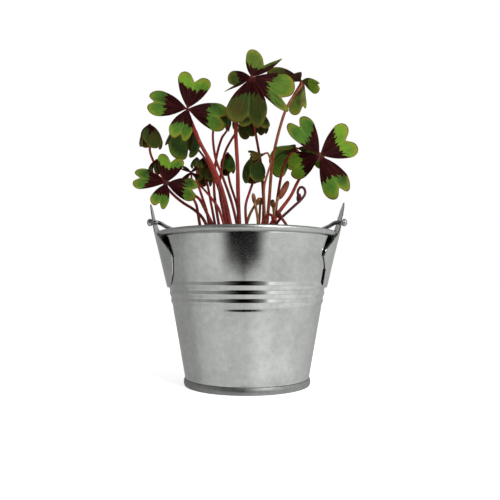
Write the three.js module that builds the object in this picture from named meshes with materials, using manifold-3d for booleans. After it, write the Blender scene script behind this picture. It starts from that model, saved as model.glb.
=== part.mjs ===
// Potted four-leaf clover: an iron-cross wood sorrel with red stems and four-leaflet leaves,
// growing in a small galvanised bucket with a wire bail. Millimetres, +Z up, the front looks to -Y,
// the origin is on the table under the middle of the bucket.
import * as THREE from 'three';
import { mergeVertices } from 'three/addons/utils/BufferGeometryUtils.js';
import Module from 'manifold-3d';

const wasm = await Module();
wasm.setup();

// Bucket, from a common size of small zinc bucket: 100 mm across the rim
const RIM_RADIUS = 50;
const RIM_TOP = 84;
const RIM_ROLL = 1.5;
const RIM_ROLL_FROM = -140;
const RIM_ROLL_TO = 180;
const RIM_ROLL_STEP = 53;
const SHEET = 0.8;
const WALL_RADIUS_AT_TABLE = 33.7;
const WALL_SLOPE = 0.172;
const FOOT_RADIUS = 35.2;
const FOOT_HEIGHT = 4;
const FOOT_EDGE = 0.5;
const FOOT_HEM = 2.4;
const FOOT_FLAT = 1.5;
const BEAD_HEIGHTS = [46.4, 50.5, 54.9];
const BEAD_REACH = 1.8;
const BEAD_PROUD = 0.35;
const BUCKET_SIDES = 36;
const BASE_LIFT = 1.9;
const CLEARANCE = 0.3;

// Ears: pointed sheet plates wrapped round the sides, with a hole for the bail above the rim. Their
// side edges lie close to the wall and their middle stands off it.
const EAR_SHEET = 0.6;
const EAR_FOOT = 53.7;
const EAR_FOOT_RADIUS = 43.7;
const EAR_LEAN = 0.236;
const EAR_LEAN_ABOVE_RIM = 0.17;
const EAR_COLUMNS = 6;
const EAR_HUGS_BELOW = 69;
const EAR_FREE_ABOVE = 81;
const EAR_EDGE_GAP = 0.8;
// Height above the table and half width along the plate, from the foot to the tip. Each ear is cut
// a little differently, as the photo shows.
const EAR_LEFT_OUTLINE = [
  [EAR_FOOT, 6], [54.5, 15], [56, 18.5], [58.5, 21.5], [61, 24.5], [64, 26.3], [67.6, 27.8], [70, 28.6],
  [73, 27], [76, 25], [80, 21.8], [RIM_TOP, 14], [87, 9.5], [90, 8], [93, 6.2], [97.5, 3.4], [100.5, 0.8],
];
const EAR_RIGHT_OUTLINE = [
  [EAR_FOOT, 10], [54.5, 18.5], [56, 18.8], [58.5, 19], [61, 19.2], [64, 19.6], [67.6, 22.8], [70, 25.8],
  [73, 25.4], [76, 23], [80, 19.2], [RIM_TOP, 14], [87, 10.4], [90, 9], [93, 8], [97.5, 5], [101, 0.8],
];

// Bail: round wire with balled ends, laid back on the rim
const HINGE_HEIGHT = 90;
const WIRE = 2.3;
const EYE_RADIUS = 1.8;
const BAIL_HALF_WIDTH = 48.5;
const BAIL_DROP = 50;
const BAIL_BALL = 2.1;
const BAIL_BALL_AT = 54.3;
const BAIL_STRAIGHT = 1.5;
const BAIL_TURN = 12;
const BAIL_STEPS = 28;

// Soil and plant
const SOIL_EDGE = 73;
const SOIL_CROWN = 77;
const SOIL_LUMP = 0.8;
const ROOT_DEPTH = 9;
const HOLE_CLEARANCE = 0.45;
const HOLE_RISE = 6;
const STEM_SIDES = 5;
const STEM_STEP = 13;
const SHOOT_STEP = 5;
const BLADE = 0.7;
const HUB_BALL = 1.4;
const LEAFLET_ROOT = 0.8;
const LEAFLET_ROOT_HALF_WIDTH = 0.45;
const LEAFLET_BELLY = 0.12;
const FEEL = 0.05;

// The leaves were placed as the eye sees them from the front: across and up in millimetres at the
// bucket's axis, then pushed back or brought forward by their depth along the line of sight.
const EYE_DISTANCE = 305;
const EYE_ACROSS = 1.6;
const EYE_HEIGHT = 55.9;

function seen([across, up, depth]) {
  const spread = (EYE_DISTANCE + depth) / EYE_DISTANCE;
  return new THREE.Vector3(
    EYE_ACROSS + (across - EYE_ACROSS) * spread,
    depth,
    EYE_HEIGHT + (up - EYE_HEIGHT) * spread,
  );
}

const degrees = THREE.MathUtils.degToRad;

// Solids and booleans
function toSolid(geometry) {
  const plain = geometry.clone();
  plain.deleteAttribute('normal');
  plain.deleteAttribute('uv');
  const merged = mergeVertices(plain, 1e-5);
  return new wasm.Manifold(new wasm.Mesh({
    numProp: 3,
    vertProperties: new Float32Array(merged.attributes.position.array),
    triVerts: new Uint32Array(merged.index.array),
  }));
}

function toGeometry(solid) {
  const { vertProperties, triVerts } = solid.getMesh();
  const geometry = new THREE.BufferGeometry();
  geometry.setAttribute('position', new THREE.BufferAttribute(new Float32Array(vertProperties), 3));
  geometry.setIndex(new THREE.BufferAttribute(new Uint32Array(triVerts), 1));
  geometry.computeVertexNormals();
  return geometry;
}

function joined(geometries) {
  return geometries.map(toSolid).reduce((whole, next) => whole.add(next));
}

// A closed sheet between two like grids of points, row by row
function sheet(rows, columns, pointAt) {
  const positions = [];
  const index = [];
  for (const side of [1, -1]) {
    for (let row = 0; row <= rows; row += 1) {
      for (let column = 0; column <= columns; column += 1) {
        positions.push(...pointAt(row, column, side).toArray());
      }
    }
  }
  const layer = (rows + 1) * (columns + 1);
  const at = (row, column, back) => row * (columns + 1) + column + (back ? layer : 0);
  const quad = (a, b, c, d) => index.push(a, b, c, a, c, d);
  for (let row = 0; row < rows; row += 1) {
    for (let column = 0; column < columns; column += 1) {
      const [a, b] = [[row, column], [row, column + 1]];
      const [c, d] = [[row + 1, column + 1], [row + 1, column]];
      quad(at(...a), at(...b), at(...c), at(...d));
      index.push(at(...a, true), at(...c, true), at(...b, true));
      index.push(at(...a, true), at(...d, true), at(...c, true));
    }
    quad(at(row, 0), at(row + 1, 0), at(row + 1, 0, true), at(row, 0, true));
    quad(at(row + 1, columns), at(row, columns), at(row, columns, true), at(row + 1, columns, true));
  }
  for (let column = 0; column < columns; column += 1) {
    quad(at(0, column + 1), at(0, column), at(0, column, true), at(0, column + 1, true));
    quad(at(rows, column), at(rows, column + 1), at(rows, column + 1, true), at(rows, column, true));
  }
  const geometry = new THREE.BufferGeometry();
  geometry.setAttribute('position', new THREE.Float32BufferAttribute(positions, 3));
  geometry.setIndex(index);
  geometry.computeVertexNormals();
  return geometry;
}

function ringShape(radius, sides) {
  const corners = Array.from({ length: sides }, (_, corner) => {
    const angle = (corner / sides) * 2 * Math.PI;
    return new THREE.Vector2(radius * Math.cos(angle), radius * Math.sin(angle));
  });
  return new THREE.Shape(corners);
}

function rod(points, radius, sides, step) {
  const path = new THREE.CatmullRomCurve3(points, false, 'centripetal');
  return new THREE.ExtrudeGeometry(ringShape(radius, sides), {
    steps: Math.max(2, Math.ceil(path.getLength() / step)),
    bevelEnabled: false,
    extrudePath: path,
  });
}

// Materials
const zinc = () => new THREE.MeshStandardMaterial({ color: 0xa9acaa, roughness: 0.38, metalness: 0.9 });
const wire = () => new THREE.MeshStandardMaterial({ color: 0x8f9492, roughness: 0.35, metalness: 0.9 });
const earth = () => new THREE.MeshStandardMaterial({ color: 0x33241a, roughness: 0.95, metalness: 0 });
const stemRed = () => new THREE.MeshStandardMaterial({ color: 0x96372a, roughness: 0.5, metalness: 0 });
const leafGreen = () => new THREE.MeshStandardMaterial({ color: 0x4f8a2c, roughness: 0.55, metalness: 0 });
const leafDark = () => new THREE.MeshStandardMaterial({ color: 0x2f4a1e, roughness: 0.6, metalness: 0 });
const shootOchre = () => new THREE.MeshStandardMaterial({ color: 0x9c6a34, roughness: 0.6, metalness: 0 });

const group = new THREE.Group();

function place(name, geometry, material) {
  const mesh = new THREE.Mesh(geometry, material);
  mesh.name = name;
  group.add(mesh);
  return mesh;
}

// Bucket
const wallRadius = (height) => WALL_RADIUS_AT_TABLE + WALL_SLOPE * height;

function bucketProfile() {
  const rollRadius = RIM_RADIUS - RIM_ROLL;
  const rollHeight = RIM_TOP - RIM_ROLL;
  const outside = [
    [FOOT_RADIUS - FOOT_EDGE, 0],
    [FOOT_RADIUS, FOOT_EDGE],
    [FOOT_RADIUS, FOOT_HEIGHT - FOOT_EDGE],
    [FOOT_RADIUS - FOOT_EDGE / 2, FOOT_HEIGHT],
    [wallRadius(FOOT_HEIGHT + FOOT_EDGE), FOOT_HEIGHT + FOOT_EDGE],
  ];
  for (const height of BEAD_HEIGHTS) {
    outside.push([wallRadius(height - BEAD_REACH), height - BEAD_REACH]);
    outside.push([wallRadius(height) + BEAD_PROUD, height]);
    outside.push([wallRadius(height + BEAD_REACH), height + BEAD_REACH]);
  }
  const rim = [];
  for (let angle = RIM_ROLL_FROM; angle <= RIM_ROLL_TO; angle += RIM_ROLL_STEP) {
    const around = degrees(angle);
    rim.push([rollRadius + RIM_ROLL * Math.cos(around), rollHeight + RIM_ROLL * Math.sin(around)]);
  }
  const hemRadius = FOOT_RADIUS - FOOT_EDGE - FOOT_HEM;
  const inside = [
    [wallRadius(rollHeight - RIM_ROLL) - SHEET, rollHeight - RIM_ROLL],
    [wallRadius(FOOT_HEIGHT) - SHEET, FOOT_HEIGHT],
    [wallRadius(BASE_LIFT) - SHEET, BASE_LIFT - CLEARANCE],
    [hemRadius, BASE_LIFT - CLEARANCE],
    [hemRadius, FOOT_EDGE],
    [FOOT_RADIUS - FOOT_EDGE - FOOT_FLAT, 0],
  ];
  return [...outside, ...rim, ...inside, outside[0]];
}

function turned(profile, sides) {
  const points = profile.map(([radius, height]) => new THREE.Vector2(radius, height));
  return new THREE.LatheGeometry(points, sides).rotateX(Math.PI / 2);
}

place('bucket_body', turned(bucketProfile(), BUCKET_SIDES), zinc());

const baseRadius = wallRadius(BASE_LIFT) - SHEET - CLEARANCE;
const baseTop = BASE_LIFT + SHEET;
const baseProfile = [[0, BASE_LIFT], [baseRadius, BASE_LIFT], [baseRadius, baseTop], [0, baseTop]];
place('bucket_base', turned(baseProfile, BUCKET_SIDES), zinc());

// Ears
function earRadius(height) {
  const below = Math.min(height, RIM_TOP) - EAR_FOOT;
  const above = Math.max(height - RIM_TOP, 0);
  return EAR_FOOT_RADIUS + EAR_LEAN * below + EAR_LEAN_ABOVE_RIM * above;
}

function earPlate(outline) {
  const pointAt = (row, column, side) => {
    const [height, halfWidth] = outline[row];
    const across = (column / EAR_COLUMNS) * 2 - 1;
    const free = THREE.MathUtils.smoothstep(height, EAR_HUGS_BELOW, EAR_FREE_ABOVE);
    const standOff = (earRadius(height) - wallRadius(height) - EAR_EDGE_GAP) * (1 - free);
    const radius = earRadius(height) - standOff * across * across + (side > 0 ? EAR_SHEET : 0);
    const angle = across * (halfWidth / earRadius(height));
    return new THREE.Vector3(radius * Math.cos(angle), radius * Math.sin(angle), height);
  };
  return sheet(outline.length - 1, EAR_COLUMNS, pointAt);
}

const eye = new THREE.CylinderGeometry(EYE_RADIUS, EYE_RADIUS, 12, 12).rotateZ(Math.PI / 2);
eye.translate(earRadius(HINGE_HEIGHT), 0, HINGE_HEIGHT);
const punched = (outline) => toGeometry(toSolid(earPlate(outline)).subtract(toSolid(eye)));
place('ear_right', punched(EAR_RIGHT_OUTLINE), zinc());
place('ear_left', punched(EAR_LEFT_OUTLINE), zinc()).rotation.z = Math.PI;

// Bail
function bailPoints() {
  const straight = BAIL_HALF_WIDTH + BAIL_STRAIGHT;
  const points = [new THREE.Vector3(-BAIL_BALL_AT, 0, 0), new THREE.Vector3(-straight, 0, 0)];
  for (let angle = 180 - BAIL_TURN; angle >= BAIL_TURN; angle -= BAIL_TURN) {
    const around = degrees(angle);
    points.push(new THREE.Vector3(BAIL_HALF_WIDTH * Math.cos(around), BAIL_DROP * Math.sin(around), 0));
  }
  points.push(new THREE.Vector3(straight, 0, 0), new THREE.Vector3(BAIL_BALL_AT, 0, 0));
  return points;
}

const bailWire = new THREE.ExtrudeGeometry(ringShape(WIRE / 2, 8), {
  steps: BAIL_STEPS,
  bevelEnabled: false,
  extrudePath: new THREE.CatmullRomCurve3(bailPoints(), false, 'centripetal'),
});
const balls = [-1, 1].map((side) => (
  new THREE.SphereGeometry(BAIL_BALL, 8, 5).scale(0.8, 1, 1).translate(side * BAIL_BALL_AT, 0, 0)
));
const bail = place('bail', toGeometry(joined([bailWire, ...balls])), wire());
const restHeight = RIM_TOP + WIRE / 2 + CLEARANCE;
bail.position.z = HINGE_HEIGHT;
bail.rotation.x = -Math.asin((HINGE_HEIGHT - restHeight) / (RIM_RADIUS - RIM_ROLL));

// Soil, with a plain hole for each stem
const soilHeight = (x, y) => {
  const dome = SOIL_CROWN - (SOIL_CROWN - SOIL_EDGE) * ((x * x + y * y) / (RIM_RADIUS * RIM_RADIUS));
  return dome + SOIL_LUMP * Math.sin(0.55 * x + 1) * Math.cos(0.47 * y - 0.6);
};

function soilPlug() {
  const rings = [0.3, 0.6, 0.85, 1];
  const shoulder = SOIL_EDGE - 1.2;
  const edge = wallRadius(shoulder) - SHEET - CLEARANCE;
  const foot = baseRadius - 0.4;
  const floor = BASE_LIFT + SHEET + CLEARANCE;
  const profile = [
    [0, floor], [foot, floor], [edge, shoulder],
    ...rings.toReversed().map((ring) => [ring * (edge - 0.4), SOIL_EDGE]), [0, SOIL_EDGE],
  ];
  const plug = turned(profile, BUCKET_SIDES / 2);
  const position = plug.attributes.position;
  for (let corner = 0; corner < position.count; corner += 1) {
    if (Math.abs(position.getZ(corner) - SOIL_EDGE) < 0.01) {
      position.setZ(corner, soilHeight(position.getX(corner), position.getY(corner)));
    }
  }
  return toSolid(plug);
}

let soil = soilPlug();

// Stems: straight through the soil, then along a curve to just under the leaf's hub
function stemCurve({ root, via, hub, facing, stemEnd = HUB_BALL + CLEARANCE, approach = 6 }) {
  const ground = soilHeight(...root);
  const top = seen(hub);
  const path = via.map((point, step) => {
    const depth = point[2] ?? root[1] + ((hub[2] - root[1]) * (via.length - step)) / (via.length + 1);
    return seen([point[0], point[1], depth]);
  }).reverse();
  const foot = new THREE.Vector3(...root, ground - ROOT_DEPTH);
  const lean = path[0].clone().sub(new THREE.Vector3(...root, ground)).setLength(1);
  const collar = new THREE.Vector3(...root, ground).addScaledVector(lean, 2);
  foot.addScaledVector(lean.clone().setZ(0), -ROOT_DEPTH / lean.z);
  const middle = foot.clone().lerp(collar, 0.5);
  const under = top.clone().addScaledVector(facing, -approach);
  const end = top.clone().addScaledVector(facing, -stemEnd);
  return [foot, middle, collar, ...path, ...(approach > stemEnd ? [under] : []), end];
}

function drill(points, radius) {
  const along = points[2].clone().sub(points[0]).setLength(1);
  const from = points[0].clone().addScaledVector(along, -CLEARANCE);
  const to = points[2].clone().addScaledVector(along, HOLE_RISE);
  const hole = new THREE.ExtrudeGeometry(ringShape(radius + HOLE_CLEARANCE, 6), {
    steps: 1,
    bevelEnabled: false,
    extrudePath: new THREE.LineCurve3(from, to),
  });
  soil = soil.subtract(toSolid(hole));
}

// A leaflet lies along +Y with its upper face to +Z: heart-shaped, narrow at the hub, notched at
// the tip. It droops from the hub, curls on along its length, folds along its midrib and rolls about
// its own length. A lean makes one lobe longer than the other.
const LOBE_ACROSS = 0.27;
const LOBE_ALONG = 0.72;
const LOBE_RADIUS = 0.23;
const LOBE_FROM = 125;
const LOBE_TO = -28;
const NOTCH_ALONG = 0.76;
const NOTCH_SHARE = 0.16;

// Across and along the tip's outline, from the notch at v = 0 round a lobe to its side at v = 1
function tipOutline(v) {
  const out = Math.min(Math.abs(v) / NOTCH_SHARE, 1);
  const share = Math.max(Math.abs(v) - NOTCH_SHARE, 0) / (1 - NOTCH_SHARE);
  const around = degrees(LOBE_FROM + (LOBE_TO - LOBE_FROM) * share);
  const lobeAcross = LOBE_ACROSS + LOBE_RADIUS * Math.cos(around);
  const lobeAlong = LOBE_ALONG + LOBE_RADIUS * Math.sin(around);
  return [Math.sign(v) * out * lobeAcross, NOTCH_ALONG + out * (lobeAlong - NOTCH_ALONG)];
}

function leaflet({ length, width, droop, curl, fold, roll, lean, rows, columns }) {
  const start = degrees(droop);
  const rate = degrees(curl || 0.1) / length;
  const flat = (t, v) => {
    const [outlineAcross, outlineAlong] = tipOutline(v);
    const tipAcross = outlineAcross * width * length;
    const tipAlong = outlineAlong * length * (1 + lean * Math.sin(Math.PI * v));
    const belly = LEAFLET_BELLY * Math.sin(Math.PI * t) * Math.abs(v);
    const across = LEAFLET_ROOT_HALF_WIDTH * v * (1 - t) + tipAcross * (t + belly);
    return [across, LEAFLET_ROOT + t * (tipAlong - LEAFLET_ROOT)];
  };
  const creaseAt = (along) => degrees(fold) * (1 - (1 - along / length) ** 2);
  const bent = (across, along) => {
    const angle = start + rate * along;
    const crease = creaseAt(along);
    const rise = Math.abs(across) * Math.sin(crease);
    return new THREE.Vector3(
      across * Math.cos(crease),
      (Math.sin(angle) - Math.sin(start)) / rate + rise * Math.sin(angle),
      (Math.cos(angle) - Math.cos(start)) / rate + rise * Math.cos(angle),
    );
  };
  const blade = sheet(rows, 2 * columns, (row, column, side) => {
    const [across, along] = flat(row / rows, column / columns - 1);
    const alongway = bent(across, along + FEEL).sub(bent(across, along - FEEL));
    const sideways = bent(across + FEEL, along).sub(bent(across - FEEL, along));
    const normal = sideways.cross(alongway).normalize();
    const mitre = column === columns ? 1 / Math.cos(creaseAt(along) / 2) : 1;
    return bent(across, along).addScaledVector(normal, (side * mitre * BLADE) / 2);
  });
  const halfway = start + degrees(curl) / 2;
  const lengthwise = new THREE.Vector3(0, Math.cos(halfway), -Math.sin(halfway));
  return blade.applyQuaternion(new THREE.Quaternion().setFromAxisAngle(lengthwise, degrees(roll)));
}

const LEAFLET = { width: 1, droop: 6, curl: 12, fold: 10, roll: 0, lean: 0, scale: 1, aim: 0 };

function blades({ length, spin = 0, leaflets = [{}, {}, {}, {}], cells = [3, 3], ...shared }) {
  const pieces = leaflets.map((own, turn) => {
    const look = { ...LEAFLET, ...shared, ...own };
    const geometry = leaflet({ ...look, length: length * look.scale, rows: cells[0], columns: cells[1] });
    return geometry.rotateZ(-degrees(spin + turn * 90 + look.aim));
  });
  return [...pieces, new THREE.IcosahedronGeometry(HUB_BALL, 0)];
}

function faced(geometry, { tilt = 0, turn = 0 }, at) {
  return geometry.rotateX(degrees(tilt)).rotateZ(degrees(turn)).translate(...at.toArray());
}

function leaf({ name, stem = 1, step = STEM_STEP, material = leafGreen, ...shape }) {
  const facing = new THREE.Vector3(0, 0, 1)
    .applyAxisAngle(new THREE.Vector3(1, 0, 0), degrees(shape.tilt ?? 0))
    .applyAxisAngle(new THREE.Vector3(0, 0, 1), degrees(shape.turn ?? 0));
  const points = stemCurve({ ...shape, facing });
  drill(points, stem);
  place(`stem_${name}`, rod(points, stem, STEM_SIDES, step), stemRed());
  const pieces = blades(shape).map((piece) => faced(piece, shape, seen(shape.hub)));
  place(`leaf_${name}`, toGeometry(joined(pieces)), material());
}

// Open leaves that show their whole face
leaf({
  name: 'upper_left', hub: [-33.5, 153.7, -18], root: [-7, -13], stem: 1.3,
  via: [[-26.4, 134.8], [-18.8, 120.6], [-13.1, 105]],
  tilt: 80, spin: 12, length: 21.5,
  leaflets: [
    { aim: -1.9, droop: 7, fold: 11.8, roll: 12.1, width: 0.77, scale: 1.09 },
    { aim: -7.4, droop: 16.8, fold: -23.5, roll: 17.5, width: 0.66, scale: 1.12, lean: -0.01 },
    { aim: -0.8, droop: -11.9, fold: 29, roll: -3.8, width: 0.66, scale: 0.96, lean: -0.02 },
    { aim: 6.1, droop: 5, fold: -33.1, roll: -20.1, width: 0.6, scale: 1.19 },
  ],
});
leaf({
  name: 'lower_left', hub: [-45.5, 112.1, -22], root: [-18, 3],
  via: [[-40.4, 104.7, -14], [-35.4, 100.8, -7], [-29.6, 97.1, 0.5], [-24.6, 92.1, 3]],
  tilt: 72, spin: 9, length: 17.5,
  leaflets: [
    { aim: -3.4, droop: 7.9, fold: 17.8, roll: 13.2, width: 0.77, scale: 1.08, lean: -0.01 },
    { aim: -7, droop: 21, fold: -27.4, roll: 19.6, width: 0.71, scale: 1.09, lean: -0.01 },
    { aim: 3.3, droop: -7.1, fold: 27.8, roll: -3.3, width: 0.69, scale: 0.89, lean: -0.04 },
    { aim: 3.2, droop: -4.6, fold: -4.9, roll: 3.5, width: 0.67, scale: 1.05, lean: 0.03 },
  ],
});
leaf({
  name: 'right', hub: [40.5, 127.6, -15], root: [6, -16], stem: 1.1,
  via: [[34, 121, 2], [28.9, 113.8, 3], [24.5, 105, -4], [17.2, 95]],
  tilt: 86, spin: 58, length: 23,
  leaflets: [
    { aim: -0.8, droop: 10.6, fold: 10.6, roll: 12.2, width: 0.84, scale: 1.05 },
    { aim: -4.4, droop: 16.6, fold: -21.2, roll: 1.1, width: 0.63, scale: 1.19, lean: -0.01 },
    { aim: 17.7, droop: 34, fold: -30.2, roll: -12.6, width: 0.73, scale: 1, lean: -0.01 },
    { aim: -0.9, droop: 0.1, fold: 5.2, roll: 10.4, width: 0.61, scale: 1.09 },
  ],
});
leaf({
  name: 'top', hub: [2.3, 171.5, -18], root: [-4, -5], stem: 1.2,
  via: [[-3.5, 158, -1], [-6.2, 146.1, -3], [-5.3, 120], [-5.1, 107.8]], stemEnd: 1.8,
  tilt: 66, spin: 20, length: 24,
  leaflets: [
    { aim: 2.6, droop: 21.1, fold: 34.1, roll: -1.4, width: 0.85, scale: 1.13, lean: -0.06 },
    { aim: -5, droop: 27.9, fold: 20.1, roll: -4.6, width: 1.03, scale: 1.09, lean: -0.01 },
    { aim: -15.3, droop: 21.4, fold: 27.9, roll: 10.4, width: 0.91, scale: 1.13, lean: -0.05 },
    { aim: 6.2, droop: 42.2, fold: 40.3, roll: -16.6, width: 0.77, scale: 0.81, lean: 0.02 },
  ],
});
leaf({
  name: 'behind_upper_left', hub: [-31.9, 147.2, -4], root: [-10, -3], stem: 0.8, material: leafDark,
  via: [[-30, 133.5, 15], [-21.6, 122.5, 4], [-14.1, 102.6]], approach: 14, stemEnd: 1.9,
  tilt: 57, turn: 22, spin: 263, length: 19.4, width: 1.05, droop: 47, curl: 24, fold: -39,
  cells: [3, 2], leaflets: [{ scale: 1.26, aim: -12 }, { aim: -18 }, { scale: 1.19, aim: 13 }, { aim: 8 }],
});

// Leaves that hang half open
const HANGING = { droop: 36, curl: 45, fold: -22, width: 0.62, cells: [3, 2], material: leafDark };
leaf({
  ...HANGING, name: 'top_right', hub: [30, 169.2, 6], root: [10, 5], length: 19, tilt: -48, curl: 25,
  via: [[27.5, 163, 1], [22.5, 155, 0], [19, 145.4, -1], [14.4, 125.7, -2], [12.3, 102.2, 3]],
  leaflets: [
    { aim: 11.1, droop: -25.5, fold: 34.4, roll: -41.2, width: 0.76, scale: 1.22 },
    { aim: 1.4, droop: 18.5, fold: -40.8, roll: 9.5, width: 0.81, scale: 0.72 },
    { aim: 40, droop: 30, width: 0.7, scale: 0.7 },
    { aim: -17.9, droop: 22.2, fold: 58.9, roll: -18.6, width: 0.54, scale: 1.21, lean: -0.12 },
  ],
});
leaf({
  ...HANGING, name: 'under_top', hub: [3.9, 151.9, 6], root: [8, 18], length: 17.2, spin: 8,
  via: [[6.2, 131.7, 14], [7.8, 122.2, 19], [9.2, 97, 18]], tilt: -18, turn: -6,
  droop: 20, curl: 68, fold: -34, width: 0.88,
  leaflets: [{ scale: 0.92, aim: 3 }, {}, { scale: 1.3, aim: -18 }, { scale: 1.1, aim: 8 }],
});
leaf({
  ...HANGING, name: 'nodding', hub: [27.7, 131.5, 12], root: [14, 12], length: 21, approach: 4,
  via: [[25, 128.7, 6], [22, 125.2, 4], [19.9, 119.6, 4], [17.2, 105.4, 8]],
  tilt: -23, turn: 3, spin: 21, droop: 7, curl: 36, fold: -39, width: 0.9,
  leaflets: [{ aim: -17, scale: 0.7 }, { aim: -10 }, { scale: 1.1, aim: 35 }, { scale: 1.05, aim: 8 }],
});

// Leaves folded up like shut umbrellas, as this plant's leaves are when young or in low light
const CLOSED = {
  droop: 15, curl: 95, fold: -72, width: 0.56, cells: [3, 2], stem: 0.9, approach: 10, material: leafDark,
};
leaf({
  ...CLOSED, name: 'far_left', hub: [-54.5, 144.7, 2], root: [-13, -18], length: 16.8, tilt: 5,
  spin: 30, droop: 19, curl: 79, fold: -59, width: 0.93,
  leaflets: [{ scale: 0.88 }, { scale: 1.14 }, { scale: 0.93, aim: -8 }, {}],
  via: [[-54.2, 128.9, 5], [-47.6, 116.1, 7], [-39.8, 109.3, 4], [-27.6, 104, -5], [-23.4, 97, -11]],
});
leaf({
  ...CLOSED, name: 'behind_lower_left', cells: [2, 2], hub: [-50.5, 125, -6], root: [-24, -7], length: 11,
  approach: 8, step: 11,
  via: [[-45, 113, -6], [-34.2, 107.2, -5.5], [-29.1, 101.6, -5], [-27.3, 93.6, -6]],
});
leaf({
  ...CLOSED, name: 'behind_right_of_upper_left', cells: [2, 2], hub: [-17, 155, 5], root: [-3, 2],
  length: 16,
  via: [[-19, 141.5, 4], [-17.6, 125.7, 3], [-13.6, 115.3, 2], [-8.5, 100.7, 2]],
});
leaf({
  ...CLOSED, name: 'behind_top_left', cells: [2, 2], hub: [-11, 152, 16], root: [-14, 8], length: 15,
  via: [[-14.3, 137, 10], [-17.3, 125.7, 8], [-18.5, 108.2, 7]],
});
leaf({
  ...CLOSED, name: 'behind_top', cells: [2, 2], hub: [-1, 157, 23], root: [-9, 12], length: 15,
  via: [[-6.5, 140, 16], [-12.5, 129, 12.5], [-14.5, 118, 12], [-15.5, 108.2, 11]],
});
leaf({
  ...CLOSED, name: 'low_left', cells: [2, 2], hub: [-24.1, 126.5, 14], root: [-16, 14], length: 16.6,
  turn: -11, spin: 15, droop: 30, curl: 65, fold: -60, width: 0.82,
  leaflets: [{ scale: 1.25, aim: -14 }, { scale: 1.12, aim: -11 }, {}, { scale: 0.84, aim: 5 }],
  via: [[-22.2, 111, 14], [-20.2, 100.7, 14]],
});
leaf({
  ...CLOSED, name: 'low_middle', cells: [2, 2], hub: [-10.9, 128.8, 20], root: [-3, 19], length: 13.5,
  tilt: -4, spin: -46, droop: 31, curl: 78, fold: -56, width: 0.73,
  leaflets: [{ scale: 1.22 }, {}, { scale: 1.18, aim: -11 }, { aim: 19 }],
  via: [[-9.6, 112, 20], [-5.7, 99.3, 19]],
});
leaf({
  ...CLOSED, name: 'low_right', hub: [4, 127.2, 9], root: [1, -2], length: 19.3, approach: 12,
  spin: 27, droop: 32, curl: 76, fold: -45, width: 0.9,
  leaflets: [{ aim: 5 }, { scale: 0.85, aim: -7 }, { scale: 1.07, aim: -7 }, {}],
  via: [[1.5, 107.6, 6], [-0.9, 98.7, 1]],
});

// Young leaves, still narrow or not yet unfolded
leaf({
  name: 'young_left', hub: [-31.4, 118.2, -4], root: [-9, -21], length: 8, tilt: 60, spin: 40, stem: 0.8,
  via: [[-26.2, 110.7, -6], [-18.8, 102.1, -12], [-15.4, 96.5, -18]],
  droop: 10, curl: 10, fold: 25, width: 0.4, cells: [2, 1], material: leafDark,
});
leaf({
  ...CLOSED, name: 'young_left_back', hub: [-28.2, 126, 4], root: [-20, 9], length: 8, fold: -40,
  cells: [2, 1],
  via: [[-28.9, 116.2, 6], [-25.4, 105, 7], [-22.5, 95.6, 9]],
});
leaf({
  name: 'young_middle', hub: [8.5, 128, -4], root: [11, -6], length: 8.5, tilt: 110, turn: -90, stem: 0.8,
  via: [[12.3, 127.3], [13.3, 124], [12, 119.1], [9.6, 110.5], [9.6, 100]], approach: 3, step: 7,
  droop: -55, curl: -12, fold: -12, width: 0.55, cells: [2, 1], material: shootOchre,
});

// Shoots that have no open leaf yet: a stalk with a bud at its end
function shoot({ name, root, via, stem = 0.8, bud, step = SHOOT_STEP, material = shootOchre }) {
  const facing = new THREE.Vector3(0, 0, 1);
  const points = stemCurve({ root, via: via.slice(1), hub: via[0], facing, stemEnd: 0, approach: 0 });
  drill(points, stem);
  const [tip, below] = [points.at(-1), points.at(-3)];
  const head = new THREE.IcosahedronGeometry(1, 0).scale(bud[0], bud[0], bud[1]);
  const lean = new THREE.Quaternion().setFromUnitVectors(facing, tip.clone().sub(below).normalize());
  head.applyQuaternion(lean).translate(...tip.toArray());
  place(`shoot_${name}`, toGeometry(joined([rod(points, stem, STEM_SIDES, step), head])), material());
}

shoot({
  name: 'folded', root: [13, -1], bud: [2.1, 6],
  via: [[20.5, 108.2, 2], [18.2, 105, 1], [16, 99.3, 0]],
});
shoot({
  name: 'curled', root: [11, -19], bud: [1.4, 2.2], step: 4, material: stemRed,
  via: [
    [28.9, 104, -13], [28.3, 107.3, -13.5], [29.8, 109.9, -14], [31.8, 109.2, -15],
    [32.5, 106.3, -16], [30.3, 103, -17], [24.5, 97.6, -18], [16.5, 89.6, -19],
  ],
});
shoot({
  name: 'pink', root: [5, -9], bud: [1.3, 3],
  via: [[3.8, 103.4, -10], [5, 97.6, -10], [6, 90.7, -9]],
});
shoot({
  name: 'ochre', root: [-3, 8], bud: [1.3, 3],
  via: [[5.7, 101.5, 2], [4.1, 99.3, 4], [0.9, 93, 6]],
});
shoot({ name: 'back_left', root: [6, 24], bud: [1.6, 2.4], via: [[7.4, 101.8, 22], [7, 94, 23]] });
shoot({ name: 'back_right', root: [17, 20], bud: [1.6, 2.4], via: [[14.3, 100.7, 18], [15, 94, 19]] });
shoot({
  name: 'hooked', root: [7, -25], bud: [1.2, 2], material: stemRed,
  via: [[15.1, 91.5, -25], [13.8, 94, -25], [12, 94.7, -25], [8.7, 90, -25]],
});
shoot({
  name: 'short', root: [26, -21], bud: [1.5, 2.5], material: stemRed,
  via: [[17.6, 94.5, -24], [21.4, 89.6, -23]],
});

place('soil', toGeometry(soil), earth());

export default group;
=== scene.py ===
# %% [markdown]
# # A four-leaf clover in a zinc bucket
# The plant is a wood sorrel with four-part leaves: green hearts with a dark purple centre, on red
# stems. It stands in a small bucket of galvanised sheet with a wire bail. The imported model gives
# every piece its place and size. This file gives each piece its fine shape and its surface. Lengths
# are metres, except in the plant's tables, which are in millimetres and say so.

# %% Frame and sizes
import math
import random

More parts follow.
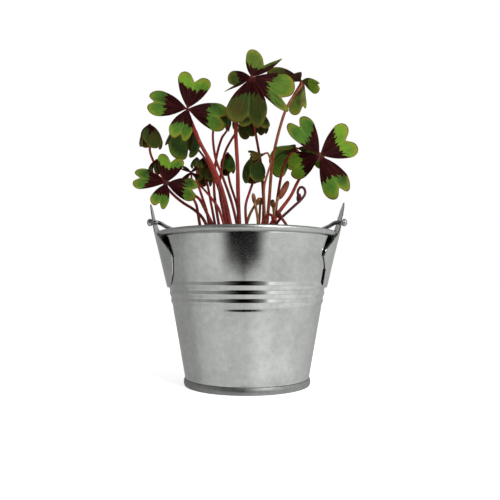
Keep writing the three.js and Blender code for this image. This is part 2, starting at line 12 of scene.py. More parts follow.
import bmesh
import bpy
import numpy as np
from mathutils import Matrix, Vector


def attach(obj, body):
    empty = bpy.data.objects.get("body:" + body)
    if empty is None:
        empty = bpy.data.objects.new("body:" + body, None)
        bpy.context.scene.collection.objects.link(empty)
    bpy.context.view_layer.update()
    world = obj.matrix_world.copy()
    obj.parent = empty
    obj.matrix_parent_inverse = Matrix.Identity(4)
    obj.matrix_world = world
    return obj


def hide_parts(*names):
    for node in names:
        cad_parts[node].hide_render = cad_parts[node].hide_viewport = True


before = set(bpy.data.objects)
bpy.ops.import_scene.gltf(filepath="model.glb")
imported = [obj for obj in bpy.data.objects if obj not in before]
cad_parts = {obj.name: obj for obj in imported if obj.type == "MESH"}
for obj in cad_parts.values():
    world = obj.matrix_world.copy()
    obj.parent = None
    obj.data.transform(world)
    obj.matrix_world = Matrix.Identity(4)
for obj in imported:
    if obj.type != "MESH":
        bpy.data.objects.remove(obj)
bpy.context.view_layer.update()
MM = 0.001
UP = Vector((0, 0, 1))

# %% [markdown]
# ## Camera
# The photograph looks straight ahead from a little above half the bucket's height. The vertical lines
# of the bucket stay parallel in it, so the camera is level, and a lens shift brings the picture up,
# as an architect's camera does. Turning the camera upwards would make the bucket lean.

# %% Camera
EYE = Vector((0.0016, -0.305, 0.0559))
IMAGE_SIDE = 500
FOCAL_LENGTH_PX = 545
HORIZON_ROW = 283.5
SENSOR_MM = 36


def linked(name, data):
    """An object that holds data, put into the scene."""
    made = bpy.data.objects.new(name, data)
    bpy.context.scene.collection.objects.link(made)
    return made


camera_data = bpy.data.cameras.new("camera")
camera_data.sensor_width = SENSOR_MM
camera_data.lens = SENSOR_MM * FOCAL_LENGTH_PX / IMAGE_SIDE
camera_data.shift_y = (HORIZON_ROW - IMAGE_SIDE / 2) / IMAGE_SIDE
camera_data.clip_start = 0.01
camera = linked("camera", camera_data)
camera.location = EYE
camera.rotation_euler = (math.pi / 2, 0, 0)
bpy.context.scene.camera = camera
print("lens", round(camera_data.lens, 1), "mm, shift", round(camera_data.shift_y, 3))

# %% [markdown]
# ## Helpers for meshes
# Most pieces are either turned about an axis, as the bucket is, or thin sheets, as ears and leaflets
# are. Both are a grid of points that closes on itself, so two small functions make them all. Each
# closed mesh has its normals recalculated, so that its faces point outwards.


# %% From points to a mesh
def face_outwards(mesh):
    shape = bmesh.new()
    shape.from_mesh(mesh)
    bmesh.ops.recalc_face_normals(shape, faces=shape.faces)
    shape.to_mesh(mesh)
    shape.free()


def new_mesh(name, vertices, faces, materials, face_materials=None, uvs=None):
    mesh = bpy.data.meshes.new(name)
    mesh.from_pydata([tuple(v) for v in vertices], [], faces)
    for material in materials:
        mesh.materials.append(material)
    if face_materials is not None:
        mesh.polygons.foreach_set("material_index", face_materials)
    if uvs is not None:
        layer = mesh.uv_layers.new(name="leaf")
        corners = np.empty(len(mesh.loops), np.int32)
        mesh.loops.foreach_get("vertex_index", corners)
        layer.data.foreach_set("uv", np.asarray(uvs, np.float32)[corners].ravel())
    face_outwards(mesh)
    mesh.polygons.foreach_set("use_smooth", [True] * len(mesh.polygons))
    return mesh


def evaluated_mesh(carrier):
    evaluated = carrier.evaluated_get(bpy.context.evaluated_depsgraph_get())
    return bpy.data.meshes.new_from_object(evaluated)


# %% A finished piece
def finish_piece(piece, body, node):
    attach(piece, body)
    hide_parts(node)
    print(piece.name, "with", len(piece.data.polygons), "faces stands for", node)


# %% Turned shapes and rings
def turned(name, outline, sides, materials, reshape=None, which=None):
    """A closed outline of (radius, height) points turned about the bucket's axis.

    reshape gives a radius of its own to a place, and which gives the material of an outline's point.
    """
    count = len(outline)
    vertices, faces = [], []
    for side in range(sides):
        angle = 2 * math.pi * side / sides
        here, there = side * count, (side + 1) % sides * count
        for k, (radius, height) in enumerate(outline):
            if reshape:
                radius = reshape(radius, height, angle)
            vertices.append((radius * math.cos(angle), radius * math.sin(angle), height))
            after = (k + 1) % count
            faces.append((here + k, there + k, there + after, here + after))
    face_materials = which and [which(k) for k in range(count)] * sides
    return linked(name, new_mesh(name, vertices, faces, materials, face_materials))


def circle(sides):
    """Cosine and sine at equal steps round a circle."""
    angles = [2 * math.pi * side / sides for side in range(sides)]
    return [(math.cos(angle), math.sin(angle)) for angle in angles]


def ring_faces(first, rings, sides):
    """Faces between rings of points that lie one after another from the point first on."""
    faces = []
    for ring in range(rings):
        for side in range(sides):
            here, after = first + ring * sides + side, first + ring * sides + (side + 1) % sides
            faces.append((here, after, after + sides, here + sides))
    return faces


# %% Thin closed sheets
def sheet_faces(rows, columns):
    """Faces of a thin closed sheet, a front and a back grid and the rim, and 1 for all but the front."""
    layer = (rows + 1) * (columns + 1)
    faces, sides = [], []
    for row in range(rows):
        for column in range(columns):
            a = row * (columns + 1) + column
            b, c, d = a + 1, a + columns + 2, a + columns + 1
            faces += [(a, b, c, d), (a + layer, d + layer, c + layer, b + layer)]
            sides += [0, 1]
    rim = list(range(columns + 1))
    rim += [row * (columns + 1) + columns for row in range(1, rows + 1)]
    rim += [rows * (columns + 1) + column for column in range(columns - 1, -1, -1)]
    rim += [row * (columns + 1) for row in range(rows - 1, 0, -1)]
    for here, there in zip(rim, rim[1:] + rim[:1]):
        faces.append((here, here + layer, there + layer, there))
        sides.append(1)
    return faces, sides


# %% Smooth paths
def smooth_path(points, spans):
    """Points along a centripetal curve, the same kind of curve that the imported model's stems follow."""
    points = [Vector(p) for p in points]
    path = [points[0]]
    for k in range(len(points) - 1):
        p1, p2 = points[k], points[k + 1]
        p0 = points[k - 1] if k else p1 * 2 - p2
        p3 = points[k + 2] if k + 2 < len(points) else p2 * 2 - p1
        d0, d1, d2 = (max((b - a).length, 1e-9) ** 0.5 for a, b in ((p0, p1), (p1, p2), (p2, p3)))
        t1 = ((p1 - p0) / d0 - (p2 - p0) / (d0 + d1) + (p2 - p1) / d1) * d1
        t2 = ((p2 - p1) / d1 - (p3 - p1) / (d1 + d2) + (p3 - p2) / d2) * d1
        for step in range(1, spans + 1):
            t = step / spans
            path.append(
                p1 * (2 * t**3 - 3 * t**2 + 1) + t1 * (t**3 - 2 * t**2 + t)
                + p2 * (3 * t**2 - 2 * t**3) + t2 * (t**3 - t**2)
            )
    return path


# %% [markdown]
# ## Helpers for nodes
# A node tree built in a script is long when every socket is set on a line of its own. Here an output
# socket is wrapped in a Flow. Adding, subtracting or multiplying flows makes the Math nodes, so a
# pattern reads like a formula. A group's named inputs are flows too.


# %% What comes out of a socket
class Flow:
    """What comes out of a socket: numbers, colours, places or geometry."""

    def __init__(self, socket):
        self.socket = socket
        self.tree = socket.id_data

    def maths(self, operation, *others):
        return flow(self.tree, "ShaderNodeMath", dict(enumerate((self, *others))), operation=operation)

    def __add__(self, other):
        return self.maths("ADD", other)

    def __sub__(self, other):
        return self.maths("SUBTRACT", other)

    def __rsub__(self, other):
        return flow(self.tree, "ShaderNodeMath", {0: other, 1: self}, operation="SUBTRACT")

    def __mul__(self, other):
        return self.maths("MULTIPLY", other)

    def fade(self, start, end, first=0.0, last=1.0):
        """first where this is at start, last where it is at end, smooth between."""
        inputs = {0: self, 1: start, 2: end, 3: first, 4: last}
        return flow(self.tree, "ShaderNodeMapRange", inputs, interpolation_type="SMOOTHSTEP")

    def noise(self, scale, detail=2.0, roughness=0.5):
        inputs = {"Vector": self, "Scale": scale, "Detail": detail, "Roughness": roughness}
        return flow(self.tree, "ShaderNodeTexNoise", inputs)

    def parts(self):
        """The three numbers of a place."""
        return [Flow(s) for s in node(self.tree, "ShaderNodeSeparateXYZ", {0: self}).outputs]


# %% Nodes, links and values
def plug(sockets, values):
    """Links flows to input sockets, and sets plain values on them."""
    for key, value in values.items():
        if isinstance(value, Flow):
            value.tree.links.new(value.socket, sockets[key])
        else:
            sockets[key].default_value = (*value, 1) if sockets[key].type == "RGBA" else value


def node(tree, kind, inputs=None, **settings):
    made = tree.nodes.new(kind)
    for name, value in settings.items():
        setattr(made, name, value)
    plug(made.inputs, inputs or {})
    return made


def flow(tree, kind, inputs=None, out=0, **settings):
    return Flow(node(tree, kind, inputs, **settings).outputs[out])


def end_tree(tree, result, shape, skin):
    """Ends a Geometry Nodes tree in plain geometry with its material on it."""
    shape = flow(tree, "GeometryNodeRealizeInstances", {0: shape})
    plug(result, {0: flow(tree, "GeometryNodeSetMaterial", {"Geometry": shape, "Material": skin})})
    print(tree.name + ":", len(tree.nodes), "nodes")


# %% Colours, places and stored numbers
def blend(share, first, second, **settings):
    inputs = {0: share, 6: first, 7: second}
    return flow(share.tree, "ShaderNodeMix", inputs, 2, data_type="RGBA", **settings)


def coordinates(tree, kind="Object"):
    return flow(tree, "ShaderNodeTexCoord", out=kind)


def stored(tree, name):
    """A number that was stored on each point of the mesh."""
    return flow(tree, "ShaderNodeAttribute", out="Fac", attribute_name=name)


# %% A new node group
def new_tree(name, kind, takes, gives):
    """An empty node group with named sockets, a function that gives an input, and its output end."""
    tree = bpy.data.node_groups.new(name, kind)
    for in_out, sockets in (("INPUT", takes), ("OUTPUT", gives)):
        for label, socket_kind in ((label, kind) for kind, labels in sockets.items() for label in labels):
            tree.interface.new_socket(name=label, in_out=in_out, socket_type="NodeSocket" + socket_kind)
    start, end = tree.nodes.new("NodeGroupInput"), tree.nodes.new("NodeGroupOutput")
    return tree, lambda label: Flow(start.outputs[label]), end.inputs


# %% [markdown]
# ## Helpers for materials
# Zinc, stem skin and leaf markings are shader groups. Each gives back a colour, a roughness and a
# height, and each material places one group with values of its own. The height goes through a Bump
# node in the material, and what is the same all over the surface is set on the shader itself.


# %% Material helpers
SURFACE = {"Color": ["Colour"], "Float": ["Roughness", "Height"]}


def new_material(name):
    material = bpy.data.materials.new(name)
    material.use_nodes = True
    return material, material.node_tree, material.node_tree.nodes["Principled BSDF"].inputs


def plug_surface(tree, shader, colour, rough, height, bump, depth):
    relief = flow(tree, "ShaderNodeBump", {"Strength": bump, "Distance": depth, "Height": height})
    plug(shader, {"Base Color": colour, "Roughness": rough, "Normal": relief})


def dressed(name, group, values, bump, depth, shine):
    """A material whose colour, roughness and relief come from a group."""
    material, tree, shader = new_material(name)
    placed = node(tree, "ShaderNodeGroup", values, node_tree=group).outputs
    plug_surface(tree, shader, *(Flow(placed[k]) for k in range(3)), bump, depth)
    plug(shader, shine)
    return material


# %% [markdown]
# ## Zinc
# Galvanised sheet is not bright like chrome: the zinc has a fine grain and cloudy patches, and it
# mirrors dark things softly. One group makes the grain, the clouds and the height that a bump node
# turns into relief. The wall is the smoothest. The rolled rim is rougher, and the hem at the foot is
# the roughest and the darkest. The wire is a zinc of its own.

# %% Zinc grain group
zinc_grain, given, result = new_tree("zinc grain", "ShaderNodeTree", {
    "Color": ["Light", "Dark"], "Float": ["Grain Size", "Roughness Low", "Roughness High"],
}, SURFACE)
place = coordinates(zinc_grain)
grain = place.noise(given("Grain Size"), 3.0, 0.7)
clouds = place.noise(55.0, 3.0, 0.6)
blotches = place.noise(320.0, 2.0, 0.6)
tone = (grain * 0.45 + clouds * 0.3 + blotches * 0.25).fade(0.36, 0.64)
rough_share = (grain * 0.5 + clouds * 0.5).fade(0.35, 0.65)
rough_span = given("Roughness High") - given("Roughness Low")
plug(result, {
    "Colour": blend(tone, given("Dark"), given("Light")),
    "Roughness": given("Roughness Low") + rough_share * rough_span,
    "Height": grain * 0.35 + clouds * 0.9,
})
print("zinc grain:", len(zinc_grain.nodes), "nodes")

# %% The four zincs
# The group's five inputs in their order, and the strength of the bump
METALS = {
    "zinc sheet": ((0.645, 0.66, 0.635), (0.46, 0.475, 0.455), 2600, 0.055, 0.11, 0.05),
    "rim zinc": ((0.56, 0.575, 0.55), (0.44, 0.455, 0.435), 2000, 0.3, 0.42, 0.15),
    "dull zinc": ((0.375, 0.385, 0.37), (0.25, 0.26, 0.25), 1500, 0.38, 0.5, 0.2),
    "zinc wire": ((0.5, 0.51, 0.5), (0.3, 0.31, 0.31), 1800, 0.24, 0.42, 0.3),
}
GRAIN_DEPTH = 0.0002
zinc, rim_zinc, dull_zinc, wire_metal = (
    dressed(name, zinc_grain, dict(enumerate(values)), bump, GRAIN_DEPTH, {"Metallic": 1.0})
    for name, (*values, bump) in METALS.items()
)
print("metals:", ", ".join(METALS))

# %% [markdown]
# ## Bucket wall
# The real wall is one sheet: rolled into a cone, lapped at the back, with three beads rolled into it
# for stiffness and a faint step below them, the top edge curled outwards round a wire and the foot
# hemmed. A surface turned from an outline makes all of this at once, because the beads and the curl
# are only bends of the outline. The lap is a small step in radius, added as the outline goes round.
# The place of a point in the outline also tells whether its faces are hem, rim or plain wall.

# %% Sizes of the bucket
RIM_RADIUS = 0.0499
RIM_TOP = 0.0840
RIM_ROLL = 0.0015
SHEET = 0.0008
WALL_AT_TABLE = 0.0337
WALL_SLOPE = 0.172
FOOT_RADIUS = 0.0352
FOOT_HEIGHT = 0.0040
FOOT_EDGE = 0.0005
FOOT_HEM = 0.0024
HEM_BULGE = 0.0003
HEM_OUTLINE_POINTS = 18
RIM_OUTLINE_POINTS = range(82, 104)
BASE_LIFT = 0.0019
CLEARANCE = 0.0003
BEAD_HEIGHTS = (0.0464, 0.0505, 0.0549)
BEAD_REACH = 0.0020
BEAD_PROUD = 0.00042
STEP_HEIGHT = 0.0436
STEP_REACH = 0.0012
STEP_DEPTH = 0.00009
ROWS_BELOW_BEADS = (0.0045, 0.012, 0.022, 0.032, 0.038)
BEAD_ROWS_FROM = 0.0400
BEAD_ROW = 0.00035
BEAD_ROW_COUNT = 52
ROWS_ABOVE_BEADS = (0.060, 0.066, 0.072, 0.077, 0.0800, 0.0812)
ROWS_INSIDE = (0.0800, 0.060, 0.040, 0.020, 0.004)
BUCKET_SIDES = 200
SEAM_ANGLE = math.pi / 2
SEAM_HALF_WIDTH = 0.0025
SEAM_PROUD = 0.0003


# %% Bucket wall
def wall_radius(height):
    return WALL_AT_TABLE + WALL_SLOPE * height


def beaded_radius(height):
    radius = wall_radius(height)
    for bead in BEAD_HEIGHTS:
        reach = min(abs(height - bead) / BEAD_REACH, 1)
        radius += BEAD_PROUD * math.cos(reach * math.pi / 2) ** 2
    step = (height - STEP_HEIGHT) / STEP_REACH
    return radius - STEP_DEPTH * math.exp(-step * step)


def arc(across, height, radius, start, end, steps):
    angles = (math.radians(start + (end - start) * k / steps) for k in range(steps + 1))
    return [(across + radius * math.cos(a), height + radius * math.sin(a)) for a in angles]


def bucket_outline():
    middle, foot_top = FOOT_HEIGHT / 2, FOOT_HEIGHT - FOOT_EDGE
    corner = FOOT_RADIUS - HEM_BULGE - FOOT_EDGE
    outline = arc(corner, FOOT_EDGE, FOOT_EDGE, -90, -15, 4)
    for share in (k / 4 - 1 for k in range(9)):
        outline.append((FOOT_RADIUS - HEM_BULGE * share**2, middle + (foot_top - middle) * share))
    outline += arc(corner, foot_top, FOOT_EDGE, 15, 90, 4)
    outline.append((wall_radius(FOOT_HEIGHT) + 0.0001, FOOT_HEIGHT))
    bead_rows = [BEAD_ROWS_FROM + BEAD_ROW * k for k in range(BEAD_ROW_COUNT)]
    outline += [(beaded_radius(h), h) for h in (*ROWS_BELOW_BEADS, *bead_rows, *ROWS_ABOVE_BEADS)]
    outline += arc(RIM_RADIUS - RIM_ROLL, RIM_TOP - RIM_ROLL, RIM_ROLL, -140, 180, 20)
    outline += [(wall_radius(h) - SHEET, h) for h in ROWS_INSIDE]
    hem, lift = FOOT_RADIUS - FOOT_EDGE - FOOT_HEM, BASE_LIFT - CLEARANCE
    outline += [(wall_radius(BASE_LIFT) - SHEET, lift), (hem, lift), (hem, FOOT_EDGE)]
    return outline + [(hem + FOOT_EDGE, 0)]


def lapped(radius, height, angle):
    """The lap: a narrow stretch of the wall's outside that stands proud."""
    away = abs(angle - SEAM_ANGLE) * radius / SEAM_HALF_WIDTH
    below_rim = FOOT_HEIGHT < height < RIM_TOP - 2.2 * RIM_ROLL
    on_wall = below_rim and radius > wall_radius(height) - SHEET / 2
    return radius + (SEAM_PROUD * max(0.0, 1 - away**8) if on_wall else 0)


def wall_hem_or_rim(k):
    return 1 if k < HEM_OUTLINE_POINTS else 2 if k in RIM_OUTLINE_POINTS else 0


bucket = turned(
    "bucket_wall", bucket_outline(), BUCKET_SIDES, [zinc, dull_zinc, rim_zinc], lapped, wall_hem_or_rim
)
finish_piece(bucket, "pot", "bucket_body")

# %% [markdown]
# ## Bucket floor
# A disc of the same sheet closes the bucket a little above the table. A pressed ring stiffens it. It
# is turned like the wall, from an outline that starts and ends close to the axis.

# %% Bucket floor
FLOOR_RADIUS = wall_radius(BASE_LIFT) - SHEET - CLEARANCE
RING_RADIUS = 0.024
RING_WIDTH = 0.002
EASE = 0.0002
floor_under = [(RING_RADIUS * k / 6, BASE_LIFT) for k in range(6)]
floor_under += [(RING_RADIUS, BASE_LIFT + EASE), (RING_RADIUS + RING_WIDTH, BASE_LIFT)]
floor_under += [(FLOOR_RADIUS - EASE, BASE_LIFT), (FLOOR_RADIUS, BASE_LIFT + EASE)]
floor_top = [(radius, height + SHEET - EASE) for radius, height in reversed(floor_under[:-1])]
floor_outline = [(max(radius, EASE), height) for radius, height in floor_under + floor_top]
bucket_floor = turned("bucket_floor", floor_outline, 96, [zinc])
finish_piece(bucket_floor, "pot", "bucket_base")

# %% [markdown]
# ## Ears
# Each ear is a plate cut to a shield with a spike, bent round the bucket's side and leaning out with
# it. It stands off the wall, so a dark gap shows under the rim. The plate is a fine grid bent round
# the axis; a boolean punches the bail's hole, and a small bevel rounds the cut edge.

# %% Sizes of the ears
EAR_SHEET = 0.0006
EAR_FOOT = 0.0537
EAR_FOOT_RADIUS = 0.0437
EAR_LEAN = 0.236
EAR_LEAN_ABOVE_RIM = 0.17
EAR_ROWS = 84
EAR_COLUMNS = 24
EAR_ROWS_CLOSE_UP = 1.15
EAR_HUGS_BELOW = 0.069
EAR_FREE_ABOVE = 0.081
EAR_EDGE_GAP = 0.0003
HINGE_HEIGHT = 0.090
EYE_HOLE_RADIUS = 0.0018
HOLE_SIDES = 40
CUT_EDGE = 0.00012
# Height above the table and half width along the plate, in millimetres
EAR_OUTLINES_MM = {
    "ear_left": [
        (53.7, 6), (54.5, 15), (56, 18.5), (58.5, 21.5), (61, 24.5), (64, 26.3), (67.6, 27.8), (70, 28.6),
        (73, 27), (76, 25), (80, 21.8), (84, 13.6), (87, 8.2), (90, 6), (93, 4.4), (97.5, 3), (100, 1.2),
    ],
    "ear_right": [
        (53.7, 10), (54.5, 18.5), (56, 18.8), (58.5, 19), (61, 19.2), (64, 19.6), (67.6, 22.8), (70, 25.8),
        (73, 25.4), (76, 23), (80, 19.2), (84, 14), (87, 10.4), (90, 9), (93, 8), (97.5, 5), (101, 0.8),
    ],
}


# %% Ears
def ear_radius(height):
    below = min(height, RIM_TOP) - EAR_FOOT
    above = max(height - RIM_TOP, 0)
    return EAR_FOOT_RADIUS + EAR_LEAN * below + EAR_LEAN_ABOVE_RIM * above


def ear_plate(name, turn, outline):
    heights = [h * MM for h, _ in outline]
    widths = [w * MM for _, w in outline]
    vertices = []
    for side in (EAR_SHEET, 0):
        for row in range(EAR_ROWS + 1):
            height = heights[0] + (heights[-1] - heights[0]) * (row / EAR_ROWS) ** EAR_ROWS_CLOSE_UP
            half_width = float(np.interp(height, heights, widths))
            radius = ear_radius(height)
            free = min(max((height - EAR_HUGS_BELOW) / (EAR_FREE_ABOVE - EAR_HUGS_BELOW), 0), 1)
            stand_off = (radius - wall_radius(height) - EAR_EDGE_GAP) * (1 - free * free * (3 - 2 * free))
            for column in range(EAR_COLUMNS + 1):
                across = 2 * column / EAR_COLUMNS - 1
                angle = across * half_width / radius + turn
                reach = radius - stand_off * across**2 + side
                vertices.append((reach * math.cos(angle), reach * math.sin(angle), height))
    return linked(name, new_mesh(name, vertices, sheet_faces(EAR_ROWS, EAR_COLUMNS)[0], [zinc]))


def punch(piece, place, radius):
    bpy.ops.mesh.primitive_cylinder_add(
        vertices=HOLE_SIDES, radius=radius, depth=0.02, location=place, rotation=(0, math.pi / 2, 0)
    )
    tool = bpy.context.object
    cut = piece.modifiers.new("hole", "BOOLEAN")
    cut.object, cut.solver = tool, "EXACT"
    edge = piece.modifiers.new("cut edge", "BEVEL")
    edge.width, edge.segments = CUT_EDGE, 2
    edge.limit_method, edge.angle_limit = "ANGLE", math.radians(50)
    mesh = evaluated_mesh(piece)
    piece.modifiers.clear()
    piece.data = mesh
    bpy.data.objects.remove(tool)


for name, turn, side in (("ear_right", 0, 1), ("ear_left", math.pi, -1)):
    ear = ear_plate(name + "_plate", turn, EAR_OUTLINES_MM[name])
    punch(ear, (side * ear_radius(HINGE_HEIGHT), 0, HINGE_HEIGHT), EYE_HOLE_RADIUS)
    finish_piece(ear, "pot", name)

# %% [markdown]
# ## Stems and wires as Geometry Nodes
# A stem, a shoot and the bail are all a round section that follows a path. Geometry Nodes do that
# well: the path goes in as a line, and the tree resamples it, sweeps a circle along it with a taper,
# adds a little unevenness from a fixed seed and stores how far along each point lies, so that the
# material can change from foot to tip. The same tree serves every path with its own values.

# %% Swept rod tree
ROD, given, result = new_tree("rod along a path", "GeometryNodeTree", {
    "Geometry": ["Path"], "Int": ["Sides"], "Material": ["Skin"],
    "Float": ["Foot Radius", "Tip Ratio", "Spacing", "Unevenness", "Foot Flare", "Seed"],
}, {"Geometry": ["Rod"]})
line = flow(ROD, "GeometryNodeMeshToCurve", {0: given("Path")})
line = flow(ROD, "GeometryNodeResampleCurve", {"Curve": line, "Length": given("Spacing")}, mode="LENGTH")
along = flow(ROD, "GeometryNodeSplineParameter", out="Factor")
line = flow(
    ROD, "GeometryNodeStoreNamedAttribute", {"Geometry": line, "Name": "along", "Value": along},
    data_type="FLOAT", domain="POINT",
)
taper = 1.0 - along * (1.0 - given("Tip Ratio"))
flare = given("Foot Flare") * (1.0 - along).maths("POWER", 6.0)
spot = flow(ROD, "GeometryNodeInputPosition")
shifted = flow(ROD, "ShaderNodeVectorMath", {0: spot, 1: given("Seed")}, operation="ADD")
uneven = (shifted.noise(90.0, 1.0) - 0.5) * given("Unevenness")
width = (taper + flare + uneven) * given("Foot Radius")
ring = flow(ROD, "GeometryNodeCurvePrimitiveCircle", {"Resolution": given("Sides"), "Radius": 1.0})
swept = {"Curve": line, "Profile Curve": ring, "Scale": width, "Fill Caps": True}
rod = flow(ROD, "GeometryNodeCurveToMesh", swept)
rod = flow(ROD, "GeometryNodeSetShadeSmooth", {0: rod})
end_tree(ROD, result, rod, given("Skin"))


# %% From a tree to a plain mesh
def grown(carrier, tree, values):
    """The plain mesh that a tree makes of carrier, which is then free of its modifier."""
    identifiers = {s.name: s.identifier for s in tree.interface.items_tree if s.in_out == "INPUT"}
    modifier = carrier.modifiers.new("grown", "NODES")
    modifier.node_group = tree
    for label, value in values.items():
        modifier[identifiers[label]] = value
    mesh = evaluated_mesh(carrier)
    carrier.modifiers.clear()
    return mesh


def rod_mesh(path, values):
    line = bpy.data.meshes.new("path")
    line.from_pydata([tuple(p) for p in path], [(k, k + 1) for k in range(len(path) - 1)], [])
    carrier = linked("path", line)
    mesh = grown(carrier, ROD, values)
    bpy.data.objects.remove(carrier)
    face_outwards(mesh)
    return mesh


# %% Joining meshes
def joined(name, meshes):
    """One object from several meshes, with their materials kept."""
    slots = list(dict.fromkeys(material for mesh in meshes for material in mesh.materials))
    whole = bmesh.new()
    whole.loops.layers.uv.new("leaf")
    for mesh in meshes:
        order = [slots.index(material) for material in mesh.materials]
        indices = [order[polygon.material_index] for polygon in mesh.polygons]
        mesh.polygons.foreach_set("material_index", indices)
        if not mesh.uv_layers:
            mesh.uv_layers.new(name="leaf")
        whole.from_mesh(mesh)
    merged = bpy.data.meshes.new(name)
    whole.to_mesh(merged)
    whole.free()
    for material in slots:
        merged.materials.append(material)
    return linked(name, merged)


# %% Blunt ball
def blunt_ball(centre, along, radius, length, material, sides=24):
    """A ball squeezed flat at its end, turned about the direction along."""
    rings = 14
    turn_to = UP.rotation_difference(along).to_matrix()
    vertices = []
    for ring in range(rings + 1):
        angle = math.pi * ring / rings
        swell = max(radius * math.sin(angle) ** 0.8, radius * 0.02)
        for x, y in circle(sides):
            vertices.append(turn_to @ Vector((swell * x, swell * y, -length * math.cos(angle))) + centre)
    caps = [tuple(range(sides)), tuple(range(rings * sides, (rings + 1) * sides))]
    return new_mesh("ball", vertices, ring_faces(0, rings, sides) + caps, [material])


# %% [markdown]
# ## Bail
# The bail is one wire, bent to a half ring, with each end pushed through its ear from inside and
# upset into a blunt ball so that it can't slip out. It lies back on the rim. The path is drawn flat,
# then tilted about the hinge, as the real one hangs.

# %% Bail
WIRE_RADIUS = 0.00115
BAIL_HALF_WIDTH = 0.0485
BAIL_DROP = 0.0500
BAIL_BALL = 0.0021
BAIL_BALL_AT = 0.0543
BAIL_STRAIGHT = 0.0015
BAIL_TURN = 12
REST_HEIGHT = RIM_TOP + WIRE_RADIUS + CLEARANCE
bail_tilt = -math.asin((HINGE_HEIGHT - REST_HEIGHT) / (RIM_RADIUS - RIM_ROLL))


def bail_path():
    straight = BAIL_HALF_WIDTH + BAIL_STRAIGHT
    points = [(-BAIL_BALL_AT, 0, 0), (-straight, 0, 0)]
    for degrees in range(180 - BAIL_TURN, BAIL_TURN - 1, -BAIL_TURN):
        angle = math.radians(degrees)
        points.append((BAIL_HALF_WIDTH * math.cos(angle), BAIL_DROP * math.sin(angle), 0))
    return points + [(straight, 0, 0), (BAIL_BALL_AT, 0, 0)]


wire_values = {
    "Foot Radius": WIRE_RADIUS, "Tip Ratio": 1.0, "Spacing": 0.0012, "Sides": 20,
    "Unevenness": 0.0, "Foot Flare": 0.0, "Seed": 0.0, "Skin": wire_metal,
}
bail_meshes = [rod_mesh(smooth_path(bail_path(), 6), wire_values)]
for side in (-1, 1):
    end, outwards = Vector((side * BAIL_BALL_AT, 0, 0)), Vector((side, 0, 0))
    bail_meshes.append(blunt_ball(end, outwards, BAIL_BALL, BAIL_BALL * 0.8, wire_metal))
bail = joined("bail_wire", bail_meshes)
bail.data.transform(Matrix.Translation((0, 0, HINGE_HEIGHT)) @ Matrix.Rotation(bail_tilt, 4, "X"))
finish_piece(bail, "bail", "bail")
print("bail tilted", round(math.degrees(bail_tilt), 1), "degrees")

# %% [markdown]
# ## Plant: stem skin
# The stems are the red of rhubarb, lighter towards the tip, ochre where light comes through, with
# fine lengthwise streaks. One group mixes these from the stored length along the stem; the red stems
# and the ochre shoots use it with their own colours.

# %% Stem skin group
stem_skin, given, result = new_tree(
    "stem skin", "ShaderNodeTree", {"Color": ["Main", "Deep", "Warm"]}, SURFACE
)
STREAKS_DRAWN_OUT = (1, 1, 0.12)
place = coordinates(stem_skin)
drawn_out = flow(stem_skin, "ShaderNodeMapping", {"Vector": place, "Scale": STREAKS_DRAWN_OUT})
streaks = drawn_out.noise(1500.0, 3.0, 0.6)
deep_share = (place.noise(70.0) + stored(stem_skin, "along") * -0.12).fade(0.42, 0.62)
colour = blend(deep_share, given("Main"), given("Deep"))
plug(result, {
    "Colour": blend(streaks.fade(0.5, 0.72, 0.0, 0.6), colour, given("Warm")),
    "Roughness": streaks.fade(0.3, 0.7, 0.38, 0.55),
    "Height": streaks,
})
print("stem skin:", len(stem_skin.nodes), "nodes")

# %% The four skins
# Main, deep and warm colour
SKINS = {
    "red stem": ((0.225, 0.020, 0.014), (0.075, 0.008, 0.006), (0.34, 0.085, 0.045)),
    "brown stem": ((0.24, 0.060, 0.022), (0.12, 0.022, 0.010), (0.33, 0.13, 0.06)),
    "ochre shoot": ((0.30, 0.13, 0.045), (0.13, 0.05, 0.02), (0.45, 0.26, 0.10)),
    "hub": ((0.075, 0.014, 0.014), (0.035, 0.006, 0.007), (0.16, 0.04, 0.035)),
}
SKIN_BUMP, SKIN_DEPTH = 0.35, 0.0002
SKIN_SHINE = {
    "Specular IOR Level": 0.2, "Subsurface Weight": 0.12, "Subsurface Radius": (0.0012, 0.0005, 0.0003),
}
red_skin, brown_skin, ochre_skin, hub_skin = (
    dressed(name, stem_skin, dict(enumerate(colours)), SKIN_BUMP, SKIN_DEPTH, SKIN_SHINE)
    for name, colours in SKINS.items()
)
print("stem skins:", ", ".join(SKINS))
